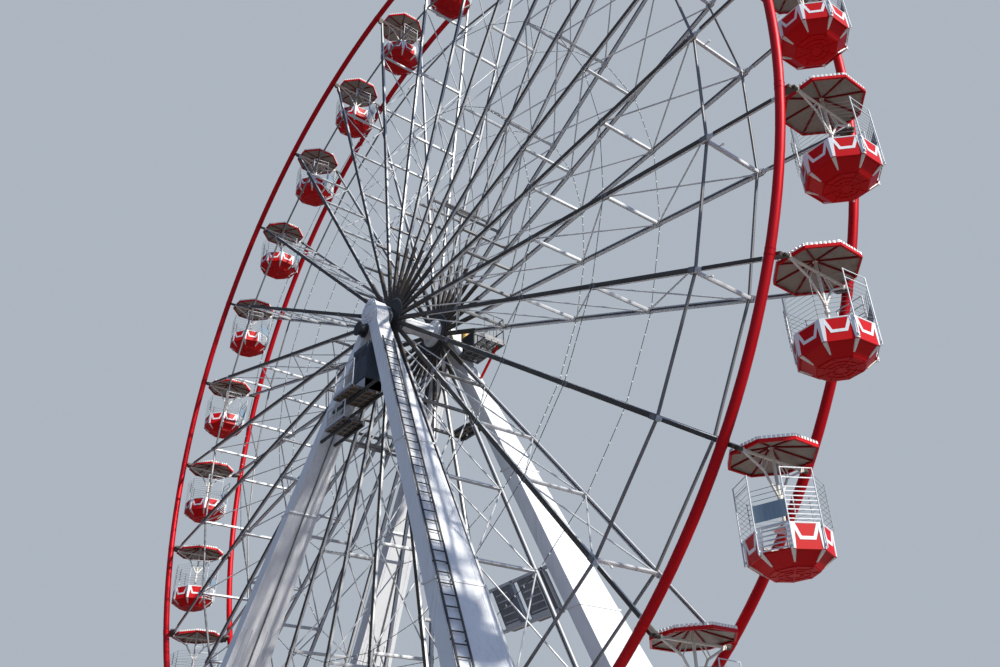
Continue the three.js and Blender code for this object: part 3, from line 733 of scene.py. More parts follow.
def hub_flange():
    """A thick disc with a raised boss on its outer face and 36 bolts round its edge."""
    profile = [(0.0, 0.790), (0.68, 0.790), (0.70, 0.80), (0.70, 0.92), (0.68, 0.93),
               (0.42, 0.93), (0.40, 0.945), (0.33, 0.945), (0.31, 0.93), (0.0, 0.93)]
    return join([lying_along_y(turned(profile, 72)), bolt_circle(0.60, 36, 0.929, 0.02)])


for side, face in FACES.items():
    beams, dark, sleeves, plates = side_of_spokes(face)
    flange = at_hub(facing(face, hub_flange()))
    # The flanges' near-black is painted shade, deep among the spokes' roots.
    parts = [(beams, zinc), (dark, channel_steel), (sleeves, dark_brown_steel), (flange, dark_steel),
             (plates, old_zinc)]
    count = put(f"{side}_spoke_fan", parts, "wheel", [f"{side}_spokes"])
    print(side, "spokes:", count, "triangles")

# %% [markdown]
# ## Cross bars, bracing and ring rods
# Bars tie the near and the far beams together at four radii, and crossed rods brace each
# bay between them. None stands beyond the outermost bars, because the cabins swing through
# there. Square ring rods join each spoke to the next at the outermost bars. Light strings
# run round at the two inner radii.

# %% Bars and crossed rods in the plane of each pair of spokes
BAR_SECTION = box_section(0.085, 0.085, 0.01)
ROD_SECTION = circle(0.022, 8)
RING_SECTION = box_section(0.060, 0.060, 0.008)
BAY_ENDS = np.array([1.3, INNERMOST_BAR, *CROSS_RADII])


def cross_bars(radii):
    """A bar from beam to beam at each radius, with a small end plate on both ends."""
    radii = np.array(radii)
    reach = spoke_side(radii) - 0.040
    start = np.c_[np.zeros(len(radii)), -reach, radii]
    bars = rods(start, start * [1, -1, 1], BAR_SECTION, (1, 0, 0))
    plates = []
    for radius in radii:
        end = spoke_side(radius) - 0.051
        for low in (-end, end - 0.012):
            plates.append(plate_at(radius, low, low + 0.012, 0.07, 0.09))
    return join([bars, *plates])


def crossed_rods():
    """Two rods a bay, from the near beam at one radius to the far beam at the other, side by side."""
    low, high = BAY_ENDS[:-1], BAY_ENDS[1:]
    low_side, high_side = spoke_side(low) - 0.045, spoke_side(high) - 0.045
    shift = np.full(len(low), 0.024)
    one = rods(np.c_[shift, -low_side, low + 0.1], np.c_[shift, high_side, high - 0.1], ROD_SECTION)
    other = rods(np.c_[-shift, low_side, low + 0.1], np.c_[-shift, -high_side, high - 0.1], ROD_SECTION)
    return join([one, other])


def ring_rods(radius, side, section):
    """Straight rods from each spoke to the next at one radius and side."""
    start = hub_centre + radial * radius + [0, side, 0]
    return rods(start, np.roll(start, -1, axis=0), section)


outer_side = spoke_side(CROSS_RADII[2]) - 0.083
bars_and_rods = copies(join([cross_bars(CROSS_RADII), crossed_rods()]), spoke_places)
inner_bars = copies(cross_bars([INNERMOST_BAR]), spoke_places)
rods_at_ring = [ring_rods(CROSS_RADII[2], side, RING_SECTION) for side in (-outer_side, outer_side)]
parts = [(bars_and_rods, zinc), (join([inner_bars, *rods_at_ring]), old_zinc)]
count = put("cross_bars_and_bracing", parts, "wheel", ["cross_bar_ring"])
print("cross bars and bracing:", count, "triangles")

# %% [markdown]
# ### Light strings and marker lamps
# A light string is a thin cable with six small bulbs from each spoke to the next. The
# cable follows the straight line between the spokes, and bulbs sit on it as small turned
# drops. A marker lamp stands on a stalk on each of the outermost bars.

# %% Light strings
CABLE_SECTION = circle(0.009, 6)
CABLE_OFF = 0.065
BULBS_IN_BAY = 6
BULB_PROFILE = [(0, -0.036), (0.013, -0.028), (0.019, -0.010), (0.016, 0.010), (0.010, 0.024), (0, 0.028)]


def points_between_spokes(radius, side, count):
    """Points at equal shares of the straight way from each spoke to the next."""
    start = hub_centre + radial * radius + [0, side, 0]
    share = ((np.arange(count) + 0.5) / count)[:, None, None]
    return (start + share * (np.roll(start, -1, axis=0) - start)).reshape(-1, 3)


cables, bulbs = [], []
for radius in CROSS_RADII[:2]:
    for face in FACES.values():
        side = face * (spoke_side(radius) + CABLE_OFF)
        cables.append(ring_rods(radius, side, CABLE_SECTION))
        bulbs.append(copies_at(turned(BULB_PROFILE, 6), points_between_spokes(radius, side, BULBS_IN_BAY)))
parts = [(join(cables), dark_steel), (join(bulbs), bulb_glass)]
count = put("light_strings", parts, "wheel")
print("light strings:", count, "triangles,", 4 * CABIN_COUNT * BULBS_IN_BAY, "bulbs")

# %% Marker lamps on the outermost bars
LAMP_PROFILE = [(0, -0.03), (0.03, -0.02), (0.034, 0.01), (0.02, 0.035), (0, 0.04)]
lamp_side, lamp_radius = -outer_side + 0.35, CROSS_RADII[2] + 0.17
stalk = prism(circle(0.014, 8), CROSS_RADII[2], lamp_radius)
lamp_head = shifted(turned(LAMP_PROFILE, 10), z=lamp_radius)
stalks, heads = [copies(shifted(part, y=lamp_side), spoke_places) for part in (stalk, lamp_head)]
count = put("marker_lamps", [(stalks, zinc), (heads, bulb_glass)], "wheel")
print("marker lamps:", count, "triangles")

# %% [markdown]
# ## The rims
# The two rims are thick steel tubes rolled to a circle. The gloss of the paint runs along
# a tube as one bright line, so the ring has many short steps and a fine round section. A
# sleeve and two clamps with bolts mark the joint between two segments at each spoke.

# %% Rims
RIM_RADIUS, RIM_TUBE = 16.31, 0.108
RIM_SIDE = BLOCK_SIDES[1] + RIM_TUBE
STEPS_IN_BAY, TUBE_STEPS = 8, 24
CLAMPS_AT = (-0.06, 0.06)


def rim(face):
    """A tube carried round the axle, with a sleeve, two clamps and their bolts over every spoke."""
    tube = circle(RIM_TUBE, TUBE_STEPS) + [0, RIM_SIDE]
    ring = at_hub(hoop(tube, RIM_RADIUS, STEPS_IN_BAY * CABIN_COUNT))

    def collar(middle, half, proud):
        """A short piece of thicker tube over the rim."""
        at = np.array([middle, RIM_SIDE, RIM_RADIUS])
        return rods(at - [half, 0, 0], at + [half, 0, 0], circle(RIM_TUBE + proud, TUBE_STEPS))

    clamps = [collar(x, 0.012, 0.007) for x in CLAMPS_AT]
    bolts = np.array([[x, RIM_SIDE, RIM_RADIUS - RIM_TUBE - 0.005] for x in CLAMPS_AT])
    joints = join([collar(0.0, 0.09, 0.003), *clamps, rods(bolts, bolts - [0, 0, 0.016], BOLT_HEAD)])
    return join([facing(face, ring), copies(facing(face, joints), spoke_places)])


for side, face in FACES.items():
    count = put(f"{side}_rim_ring", [(rim(face), rim_paint)], "wheel", [f"{side}_rim"])
    print(side, "rim:", count, "triangles")

# %% [markdown]
# ## The hub
# The hub is a turned drum between the two flanges, on a shaft that runs out through both
# bearings. Its profile is drawn from one end to the middle, and mirrored for the other
# half. Two ribs stiffen the drum, two grey bands go round its near end, and a retaining
# plate closes each end of the shaft.

# %% Hub drum and shaft
SHAFT_RADIUS, DRUM_RADIUS, SHAFT_END, DRUM_END = 0.23, 0.25, 1.74, 0.7897
COLLAR_OUTLINE = [(0.26, 0.66), (0.44, 0.68), (0.47, 0.70), (0.47, DRUM_END), (0.26, DRUM_END)]
BAND_OUTLINE = np.array([(0.24, -0.02), (0.33, -0.02), (0.33, 0.02), (0.24, 0.02)])
BAND_SIDES = (-0.60, -0.52)
SHAFT_HALF = [
    (0.0, -SHAFT_END), (0.17, -SHAFT_END), (0.18, -1.73), (0.18, -1.715), (0.222, -1.71),
    (SHAFT_RADIUS, -1.70), (SHAFT_RADIUS, -DRUM_END), (0.31, -DRUM_END), (0.31, -0.72), (0.29, -0.70),
    (DRUM_RADIUS, -0.69), (DRUM_RADIUS, -0.50), (0.28, -0.49), (0.28, -0.45), (DRUM_RADIUS, -0.44),
]
mirrored_half = [(radius, -height) for radius, height in reversed(SHAFT_HALF)]
drum = lying_along_y(turned(SHAFT_HALF + mirrored_half, 64))
collar = hoop(COLLAR_OUTLINE, 0.0, RING_STEPS)
bands = join([hoop(BAND_OUTLINE + [0, side], 0.0, RING_STEPS) for side in BAND_SIDES])
parts = [(at_hub(join([drum, collar])), white_paint), (at_hub(bands), old_zinc)]
count = put("hub_drum", parts, "wheel", ["hub_shaft"])
print("hub:", count, "triangles")

# %% [markdown]
# ## The cabins
# A cabin is an eight-sided tub hung under an eight-sided umbrella. Riders can spin the
# tub about its column, so each one stands at its own turn. One cabin is worked out here
# round its pivot, in a few parts, and is then set down at 27 pivots. Each copy rides on
# its own body, because the cabins stay level while the wheel turns. A "corner" is a
# radius to an octagon's corners, and a "drop" is a depth below the pivot.

# %% The tub's driving sizes
RIM_DROP, BAND_DROP, BASE_DROP, BOTTOM_DROP = 1.527, 1.976, 2.197, 2.234
RIM_CORNER, BAND_CORNER, BASE_CORNER = 0.815, 0.803, 0.501
WALL = 0.035
GUARD_PANEL, DOOR_PANEL, GRILLE_PANEL = 4, 5, 6
HALF_STEP = math.pi / 8
panel_turns = np.arange(8) * math.pi / 4
corner_turns = panel_turns + HALF_STEP
closed_turns = np.delete(panel_turns, DOOR_PANEL)
apothem = math.cos(HALF_STEP)


def upright_at(turns, radius=0.0):
    """Frames whose X looks outward at each turn and whose Z stays up, moved out by the radius."""
    outward = np.c_[np.cos(turns), np.sin(turns), np.zeros(len(turns))]
    sideways = np.c_[-np.sin(turns), np.cos(turns), np.zeros(len(turns))]
    return places_from(outward, sideways, (0, 0, 1), outward * radius)


def points_round(radius, turns, height):
    """Points (radius cos turn, radius sin turn, height); any of the three may be an array."""
    return np.stack(np.broadcast_arrays(radius * np.cos(turns), radius * np.sin(turns), height), axis=-1)


print("a tub is", round(2 * RIM_CORNER * apothem, 3), "m across its flats")

# %% [markdown]
# ### The tub's shell
# The band is seven flat panels, with the eighth cut away for the doorway. Below it the
# shell slopes in to a smaller octagon, and a ribbed plate closes the bottom. Each panel
# leans out a little, so it is a loft between its lower and its upper chord.

# %% Band panels and bowl
JAMB_SIDES = (-0.27, 0.27)
PLATE_LIFT = 0.014
FLOOR_RINGS = (0.19, 0.31)


def leaning_panel(low, high, inner, outer):
    """A panel facing +X from one (corner, drop, half width) to another: its faces lie `inner` and
    `outer` off the octagon's flat."""
    rings = []
    for corner, drop, half in (low, high):
        near, far = corner * apothem + inner, corner * apothem + outer
        rings.append([[near, -half, -drop], [far, -half, -drop], [far, half, -drop], [near, half, -drop]])
    return loft(rings)


def band_panels():
    """Seven whole panels, and two narrow jambs beside the doorway in the eighth."""
    half = BAND_CORNER * math.sin(HALF_STEP)
    low, high = (BAND_CORNER, BAND_DROP + 0.02, half), (RIM_CORNER, RIM_DROP, half + 0.005)
    panels = copies(leaning_panel(low, high, -WALL, 0), upright_at(closed_turns))
    jamb = block((-WALL, 0), (-0.03, 0.03), (-BAND_DROP, -RIM_DROP), 0.006)
    jambs = join([shifted(jamb, RIM_CORNER * apothem - 0.005, side) for side in JAMB_SIDES])
    return join([panels, copies(jambs, upright_at(panel_turns[[DOOR_PANEL]]))])


def bowl():
    """The sloping base as a closed eight-sided shell: out along the floor, up the slope and back inside."""
    floor_z, inside_z = -BOTTOM_DROP + PLATE_LIFT, -BASE_DROP + 0.05
    step = BASE_CORNER - 0.02
    top = BAND_CORNER - WALL
    profile = [(0, floor_z), (step, floor_z), (step, -BASE_DROP - 0.006), (BASE_CORNER, -BASE_DROP - 0.006),
               (BASE_CORNER, -BASE_DROP), (top, -BAND_DROP), (top, -BAND_DROP + 0.03),
               (BASE_CORNER, inside_z), (0, inside_z)]
    return turned(profile, 8, HALF_STEP)


def bottom_ribs():
    """Two rings, a round plate and eight flat bars, all standing proud of the floor's underside."""
    floor_z = -BOTTOM_DROP + PLATE_LIFT
    bar = block((0.10, BASE_CORNER - 0.05), (-0.014, 0.014), (floor_z - 0.012, floor_z + 0.004))
    outline = [(-0.012, -0.013), (0.012, -0.013), (0.012, 0.004), (-0.012, 0.004)]
    rings = [shifted(hoop_about_z(outline, radius), z=floor_z) for radius in FLOOR_RINGS]
    plate = turned([(0, floor_z - 0.013), (0.10, floor_z - 0.013), (0.11, floor_z), (0, floor_z)], 24)
    return join([copies(bar, upright_at(corner_turns)), *rings, plate])


# %% [markdown]
# ### White trim on the tub
# Every panel carries a white stripe bent like a U with slanted arms. The stripe is a
# raised strip, so it catches light on its edges. White angle plates cover the corners of
# the band, and cream ribs, narrowing to a point, run down the slope under them.

# %% Stripes, corner plates and ribs
STRIPE_WIDTH, STRIPE_PROUD = 0.062, 0.006
STRIPE_FOOT, STRIPE_TIP = (0.135, 0.40), (0.245, 0.99)
RIB_SHARE = 0.8


def flat_strip(path, width, depth):
    """A strip along (across, up) points, mitred at the bends: each point's two edges lie
    half a width off, along the sum of its neighbours' normals."""
    path = np.asarray(path, dtype=float)
    step = np.diff(path, axis=0)
    normal = np.c_[-step[:, 1], step[:, 0]] / np.linalg.norm(step, axis=1)[:, None]
    before = np.vstack([normal[:1], normal])
    after = np.vstack([normal, normal[-1:]])
    mitre = before + after
    mitre *= (width / (mitre * before).sum(axis=1))[:, None]
    left, right = path + mitre / 2, path - mitre / 2
    back = np.zeros(len(path))
    front = np.full(len(path), depth)
    corners = [np.c_[back, left], np.c_[back, right], np.c_[front, right], np.c_[front, left]]
    return loft(np.stack(corners, axis=1))


def panel_stripe():
    """The U on one panel. It is drawn flat, then moved out in X by the octagon's flat, which grows
    evenly with the height from the band's foot to the rim."""
    height = BAND_DROP - RIM_DROP
    right_arm = [(across, share * height) for across, share in (STRIPE_FOOT, STRIPE_TIP)]
    left_arm = [(-across, up) for across, up in reversed(right_arm)]
    points, faces = flat_strip(left_arm + right_arm, STRIPE_WIDTH, STRIPE_PROUD)
    share = points[:, 2] / height
    flat = (BAND_CORNER + share * (RIM_CORNER - BAND_CORNER)) * apothem
    return points + np.c_[flat, np.zeros(len(flat)), np.full(len(flat), -BAND_DROP)], faces


def corner_wedge(low, high, half_low, half_high, proud):
    """A plate bent over an octagon's corner: a three-sided section at the low and high (corner, drop)."""
    rings = []
    for (corner, drop), half in ((low, half_low), (high, half_high)):
        back = half * math.sin(HALF_STEP)
        rings.append([
            [corner - back - 0.02, -half, -drop], [corner - back + proud, -half * 1.02, -drop],
            [corner + proud, 0, -drop], [corner - back + proud, half * 1.02, -drop],
            [corner - back - 0.02, half, -drop],
        ])
    return loft(rings)


def white_trim():
    """Stripes on the closed panels and plates on all corners."""
    plate = corner_wedge((BAND_CORNER, BAND_DROP + 0.01), (RIM_CORNER, RIM_DROP - 0.012), 0.045, 0.082, 0.010)
    return join([copies(panel_stripe(), upright_at(closed_turns)), copies(plate, upright_at(corner_turns))])


def cream_ribs():
    """Ribs over the slope, from the band's lower edge most of the way in."""
    end_corner = BAND_CORNER + RIB_SHARE * (BASE_CORNER - BAND_CORNER)
    end_drop = BAND_DROP + RIB_SHARE * (BASE_DROP - BAND_DROP)
    rib = corner_wedge((end_corner, end_drop), (BAND_CORNER, BAND_DROP), 0.014, 0.046, 0.012)
    return copies(rib, upright_at(corner_turns))


# %% [markdown]
# ### Seats, rail and table
# Through the doorway one sees a bench round the wall and, on the column, the disc that
# riders pull to spin the tub. A tube runs along the top of the wall.

# %% Inside of the tub
SEAT_OUTLINE = [(0.40, -0.17), (0.685, -0.285), (0.685, 0.285), (0.40, 0.17)]
SEAT_TOP, SEAT_FOOT = 1.82, 1.86
DISC_PROFILE = [(0, -1.40), (0.19, -1.40), (0.225, -1.385), (0.225, -1.375), (0.19, -1.36), (0, -1.36)]


def octagon_tube(corner, drop, section):
    """Straight rods from corner to corner of an octagon."""
    ring = points_round(corner, corner_turns, -drop)
    return rods(ring, np.roll(ring, -1, axis=0), section, (0, 0, 1))


bench = copies(prism(SEAT_OUTLINE, -SEAT_FOOT, -SEAT_TOP), upright_at(closed_turns))
spin_disc = turned(DISC_PROFILE, 32)
tub_rail = octagon_tube(RIM_CORNER - 0.012, RIM_DROP - 0.008, circle(0.019, 8))
print("bench and rail ready")

# %% [markdown]
# ### Posts, grille, gate and wires
# Tall white posts stand outside the tub beside the doorway, and one stands opposite. A
# grille of white rails joins two of them over the next panel, and a gate of rails with a
# grey plate closes the doorway. Round the rest, thin wires are strung through slender
# uprights at the other corners.

# %% Fence round the tub
POST_CORNER, GATE_CORNER = 0.848, 0.818
OPPOSITE_PANEL, OPPOSITE_REACH = 1, 0.795
POST_TOP, POST_FOOT = 0.48, 1.985
GUARD_DROPS = np.array([0.49, 0.68])
GRILLE_DROPS = np.r_[0.485, 0.68, np.linspace(0.86, 1.46, 8)]
GATE_DROPS = np.linspace(1.50, 1.93, 6)
THIN_DROPS = np.array([0.80, 0.90, 1.00])
PLATE_DROP, PLATE_HEIGHT = 1.24, 0.32
WIRE_DROPS = np.linspace(0.62, 1.42, 9)
SLENDER_CORNERS = [0, 2, 7]
post_turns = corner_turns[[GUARD_PANEL - 1, GUARD_PANEL, DOOR_PANEL, GRILLE_PANEL]]
guard_start, door_start, door_end, grille_end = post_turns


def post_line(turns, top, foot, section, reach=POST_CORNER):
    """Upright rods at the given turns, one reach for all or one for each."""
    return rods(points_round(reach, turns, -foot), points_round(reach, turns, -top), section)


def rails_between(first, second, drops, section, radius=POST_CORNER):
    """Level rods between two turns at a list of drops."""
    return rods(points_round(radius, first, -drops), points_round(radius, second, -drops), section, (0, 0, 1))


def white_posts():
    """Posts at four corners and one opposite, and the clips that hold them."""
    turns = np.r_[post_turns, panel_turns[OPPOSITE_PANEL]]
    reach = np.r_[np.full(len(post_turns), POST_CORNER), OPPOSITE_REACH]
    posts = post_line(turns, POST_TOP, POST_FOOT, circle(0.014, 10), reach)
    clip = block((-0.045, 0.010), (-0.017, 0.017), (-0.02, 0.02))
    places = upright_at(turns, reach[:, None])
    clips = [copies(shifted(clip, z=-drop), places) for drop in (RIM_DROP + 0.05, BAND_DROP - 0.06)]
    return join([posts, *clips])


def grille():
    """Two high rails and eight close ones over the panel beside the doorway, and two guard rails."""
    close = rails_between(door_end, grille_end, GRILLE_DROPS, box_section(0.010, 0.020))
    guard = rails_between(guard_start, door_start, GUARD_DROPS, box_section(0.012, 0.016))
    return join([close, guard])


def gate():
    """The doorway's white rails below, and above them a grey plate under three thin rails."""
    low = rails_between(door_start, door_end, GATE_DROPS, box_section(0.012, 0.024), GATE_CORNER)
    plate = rails_between(door_start, door_end, PLATE_DROP, box_section(0.008, PLATE_HEIGHT), GATE_CORNER)
    thin = rails_between(door_start, door_end, THIN_DROPS, circle(0.006, 6), GATE_CORNER)
    return low, join([plate, thin])


def wire_fence():
    """Thin wires round the sides that have no grille or gate, and slender uprights with small beads."""
    panels = [panel for panel in range(8) if panel not in (DOOR_PANEL, GRILLE_PANEL)]
    wire = circle(0.0035, 5)
    ends = [(corner_turns[panel - 1], corner_turns[panel]) for panel in panels]
    wires = [rails_between(start, end, WIRE_DROPS, wire) for start, end in ends]
    slender = corner_turns[SLENDER_CORNERS]
    uprights = post_line(slender, WIRE_DROPS[0] - 0.03, RIM_DROP, circle(0.007, 6))
    turns, drops = [a.ravel() for a in np.meshgrid(slender, WIRE_DROPS)]
    bead = turned([(0, -0.014), (0.013, -0.008), (0.013, 0.008), (0, 0.014)], 6)
    return join([*wires, uprights, copies_at(bead, points_round(POST_CORNER, turns, -drops))])


# %% [markdown]
# ### Column, arms and hanger beam
# The whole cabin hangs from one square beam between its two pivots. From each pivot an arm
# comes down, bends at a knee and meets the column. Short struts prop the beam on the arms.
# The column carries the tub below and the umbrella above.

# %% Hanger
NODE_DROP = 0.770
KNEE_SIDE, KNEE_DROP = 0.347, 0.291
PIVOT_END = 0.9297
BEAM_END, ARM_START = PIVOT_END - 0.03, PIVOT_END - 0.05
TUBE, SOCKET, CAP = 0.034, 0.056, 0.06
COLUMN_PROFILE = [
    (0, -BASE_DROP), (TUBE, -BASE_DROP), (TUBE, -1.0), (SOCKET, -0.98), (SOCKET, -0.92), (TUBE, -0.90),
    (TUBE, -0.81), (0.05, -0.80), (0.05, -0.73), (TUBE, -0.72), (TUBE, 0.24), (CAP, 0.25), (CAP, 0.29),
    (0, 0.30),
]
FOOT_PROFILE = [(0, -2.15), (0.16, -2.15), (0.16, -2.13), (0.06, -2.05), (0, -2.05)]


def half_hanger():
    """Half of the beam with its pivot pin and plate, a bent arm in two pieces, and two struts."""
    arm = box_section(0.042, 0.042, 0.007)
    knee = (0, KNEE_SIDE, -KNEE_DROP)
    return join([
        rods((0, 0, 0), (0, BEAM_END, 0), box_section(0.052, 0.052, 0.008), (0, 0, 1)),
        lying_along_y(prism(circle(0.03, 16), BEAM_END, PIVOT_END)),
        block((-0.042, 0.042), (ARM_START, BEAM_END), (-0.05, 0.04), 0.006),
        rods((0, ARM_START, -0.02), knee, arm, (1, 0, 0)),
        rods(knee, (0, 0.03, -NODE_DROP), arm, (1, 0, 0)),
        rods([knee, (0, 0.44, -0.24)], [(0, 0.16, -0.02), (0, 0.30, -0.02)], circle(0.012, 8), (1, 0, 0)),
    ])


def hanger():
    """Both halves, mirrored about the wheel's middle plane, and the column with its collars and foot."""
    half = half_hanger()
    return join([half, facing(-1, half), turned(COLUMN_PROFILE, 20), turned(FOOT_PROFILE, 20)])


# %% [markdown]
# ### The umbrella
# The canopy is a shallow eight-sided cone with a dark red band round its edge. Eight red
# ribs run under it from the column to the corners. A row of white lamps stands on the
# edge like teeth, which is the first thing one sees of it from the ground.

# %% Canopy
CANOPY_CORNER, EDGE_LOW, EDGE_HIGH, APEX = 0.916, 0.025, 0.115, 0.33
RIB_START, RIB_END = (0.06, APEX - 0.062), (0.88, EDGE_LOW + 0.032)
LAMPS_ON_SIDE = 8
LAMP_HALF_DEPTH, LAMP_HALF_WIDTH, LAMP_HEIGHT = 0.014, 0.030, 0.062


def canopy_skin():
    """The cone's lining as a closed thin shell, a little inside the edge band."""
    edge = CANOPY_CORNER - 0.03
    profile = [(0, APEX - 0.04), (edge, EDGE_LOW + 0.045), (edge, EDGE_LOW + 0.055), (0, APEX - 0.028)]
    return turned(profile, 8, HALF_STEP)


def canopy_top():
    """The painted outside of the cone, over the lining."""
    edge = CANOPY_CORNER - 0.02
    profile = [(0, APEX - 0.027), (edge, EDGE_HIGH - 0.034), (edge, EDGE_HIGH - 0.022),
               (0.06, APEX - 0.012), (0.05, APEX), (0, APEX)]
    return turned(profile, 8, HALF_STEP)


def canopy_edge():
    """A band along the eight sides: a flat bar, with a lip turned in at its foot."""
    middle = (EDGE_LOW + EDGE_HIGH - 0.02) / 2
    height = EDGE_HIGH - 0.02 - EDGE_LOW
    wall = octagon_tube(CANOPY_CORNER - 0.010, -middle, box_section(0.016, height))
    lip = octagon_tube(CANOPY_CORNER - 0.028, -EDGE_LOW - 0.006, box_section(0.04, 0.010))
    return join([wall, lip])


def canopy_ribs():
    """Eight rods under the cone from the column's collar to the corners."""
    start, end = [points_round(radius, corner_turns, height) for radius, height in (RIB_START, RIB_END)]
    return rods(start, end, box_section(0.035, 0.045, 0.005), (0, 0, 1))


def edge_lamps():
    """Upright lamps along the band's top edge at equal shares of each side, each a rounded block."""
    side_turns = np.repeat(panel_turns, LAMPS_ON_SIDE)
    half_side = CANOPY_CORNER * math.sin(HALF_STEP)
    share = np.tile(2 * (np.arange(LAMPS_ON_SIDE) + 0.5) / LAMPS_ON_SIDE - 1, 8)
    places = upright_at(side_turns, CANOPY_CORNER * apothem - 0.016)
    places[:, :3, 3] += places[:, :3, 1] * (share * half_side)[:, None]
    low = EDGE_HIGH - 0.024
    depth, width = (-LAMP_HALF_DEPTH, LAMP_HALF_DEPTH), (-LAMP_HALF_WIDTH, LAMP_HALF_WIDTH)
    return copies(block(depth, width, (low, low + LAMP_HEIGHT), 0.010), places)


# %% [markdown]
# ### Hanging up all the cabins
# The arrays of one cabin are moved to each pivot, after the tub and its fence are turned
# to where the last riders left them. A cabin becomes four pieces: tub, fence, hanger and
# canopy. Keeping them apart leaves each light and easy to repaint.

# %% The parts of one cabin
gate_rails, gate_plate = gate()
tub_parts = [
    (join([band_panels(), bowl(), bottom_ribs()]), red_paint),
    (join([white_trim(), tub_rail, spin_disc]), white_paint),
    (join([cream_ribs(), bench]), cream_paint),
]
fence_parts = [
    (join([white_posts(), grille(), gate_rails]), fence_paint), (wire_fence(), old_zinc),
    (gate_plate, gate_paint),
]
canopy_parts = [
    (join([canopy_edge(), canopy_top()]), red_paint), (canopy_ribs(), deep_red), (canopy_skin(), lining),
    (edge_lamps(), bulb_glass),
]
hanger_parts = [(hanger(), cream_paint)]
print("parts of a cabin:", len(tub_parts + fence_parts + canopy_parts + hanger_parts))

# %% Set the 27 cabins in place
FACET_ANGLE = math.radians(14)
TUB_TURN, TUB_SWAY, SWAY_STEP = 175.2, 9.0, 2.4
FAR_TURNED, FAR_TURN = 25, 63.4


def tub_turn(index):
    """How far a tub stands turned about its column: a few degrees either way, one of them much more."""
    if index == FAR_TURNED:
        return math.radians(FAR_TURN)
    return math.radians(TUB_TURN + TUB_SWAY * math.sin(SWAY_STEP * (index - CABIN_COUNT + 1)))


def hung(parts, pivot, turn=0.0):
    """Each (shape, material) pair turned about its column, then moved from the origin to the pivot."""
    return [(shifted(turned_about_z(shape, turn), *pivot), material) for shape, material in parts]


total = 0
for index, pivot in enumerate(hub_centre + WHEEL_RADIUS * radial):
    name, turn = f"cabin_{index + 1:02d}", tub_turn(index)
    total += put(f"{name}_tub", hung(tub_parts, pivot, turn), name, [name], FACET_ANGLE)
    total += put(f"{name}_fence", hung(fence_parts, pivot, turn), name)
    total += put(f"{name}_hanger", hung(hanger_parts, pivot), name)
    total += put(f"{name}_canopy", hung(canopy_parts, pivot), name)
print(CABIN_COUNT, "cabins:", total, "triangles")

# %% [markdown]
# ## The legs
# Four box-section legs lean in from the ground frame to the two bearings. Their plates are
# flat and their edges sharp, so the CAD solids keep their shape and take the white finish.
# Over them go the flanges where the transportable sections are bolted together, the pipe
# that carries cables up each left leg, and the ladder.

# %% Leg places
LEG_SLOPE, LEG_WIDTH = 0.541, 0.50
HEAD_DROP, HEAD_SIDES = 0.52, (1.23, 1.67)
FOOT_DROP, FOOT_SIDES = 19.2997, (1.62, 3.71)
SECTION_DROPS = (5.9, 10.4, 14.9)
for name in FACES:
    for part in ("left_leg", "right_leg", "bearing"):
        finish_node(f"{name}_{part}", white_paint)


def leg_sides(drop):
    """Inner and outer side of a leg at a drop below the hub, growing evenly from the head to the foot."""
    share = (drop - HEAD_DROP) / (FOOT_DROP - HEAD_DROP)
    return [side + share * (foot - side) for side, foot in zip(HEAD_SIDES, FOOT_SIDES)]


def on_leg(handed, face, drop, across, along_side):
    """A point on a leg, left (-1) or right (1): across is X from its middle line, along_side a side."""
    return np.array([handed * LEG_SLOPE * drop + across, face * along_side, HUB_HEIGHT - drop])


print("leg sides at the foot:", leg_sides(FOOT_DROP))

# %% Bolted section flanges
FLANGE_PROUD, FLANGE_HALF, FLANGE_BOLTS = 0.035, 0.022, 8


def section_flange(handed, face, drop):
    """Four flat bars round the leg at a joint, and a row of bolts along its two wide faces."""
    middle, half_x, proud = LEG_SLOPE * drop * handed, LEG_WIDTH / 2, FLANGE_PROUD
    y_low, y_high = sorted(face * side for side in leg_sides(drop))
    z = (HUB_HEIGHT - drop - FLANGE_HALF, HUB_HEIGHT - drop + FLANGE_HALF)
    left, right_x = middle - half_x, middle + half_x
    bars = [
        block((left - proud, left + 0.012), (y_low - proud, y_high + proud), z),
        block((right_x - 0.012, right_x + proud), (y_low - proud, y_high + proud), z),
        block((left, right_x), (y_low - proud, y_low + 0.002), z),
        block((left, right_x), (y_high - 0.002, y_high + proud), z),
    ]
    y = np.linspace(y_low + 0.08, y_high - 0.08, FLANGE_BOLTS)
    bolts = []
    for x in (left - proud / 2 - 0.004, right_x + proud / 2 + 0.004):
        start = np.c_[np.full(FLANGE_BOLTS, x), y, np.full(FLANGE_BOLTS, z[0] - 0.018)]
        bolts.append(rods(start, start + [0, 0, 2 * FLANGE_HALF + 0.036], circle(0.012, 6)))
    return join(bars + bolts)


flanges = [
    section_flange(handed, face, drop)
    for handed in (-1, 1) for face in (-1, 1) for drop in SECTION_DROPS
]
count = put("leg_section_flanges", [(join(flanges), white_paint)], "support")
print("section flanges:", count, "triangles")

# %% [markdown]
# ### Cable pipe and stiffeners
# A grey pipe climbs the middle of each left leg's right face, held by clips, and raised
# ribs run beside it down the lower sections. Shallow flat bars run down the wide faces of
# all the legs where the plates are welded, and keep those large faces from looking blank.

# %% Pipe, ribs and weld strips
RIB_SHARES, RIB_DROP = (0.18, 0.30, 0.70, 0.84), 9.0
STRIP_SHARES, STRIP_SECTION = (0.10, 0.90), box_section(0.008, 0.05)
CLIP_COUNT = 22


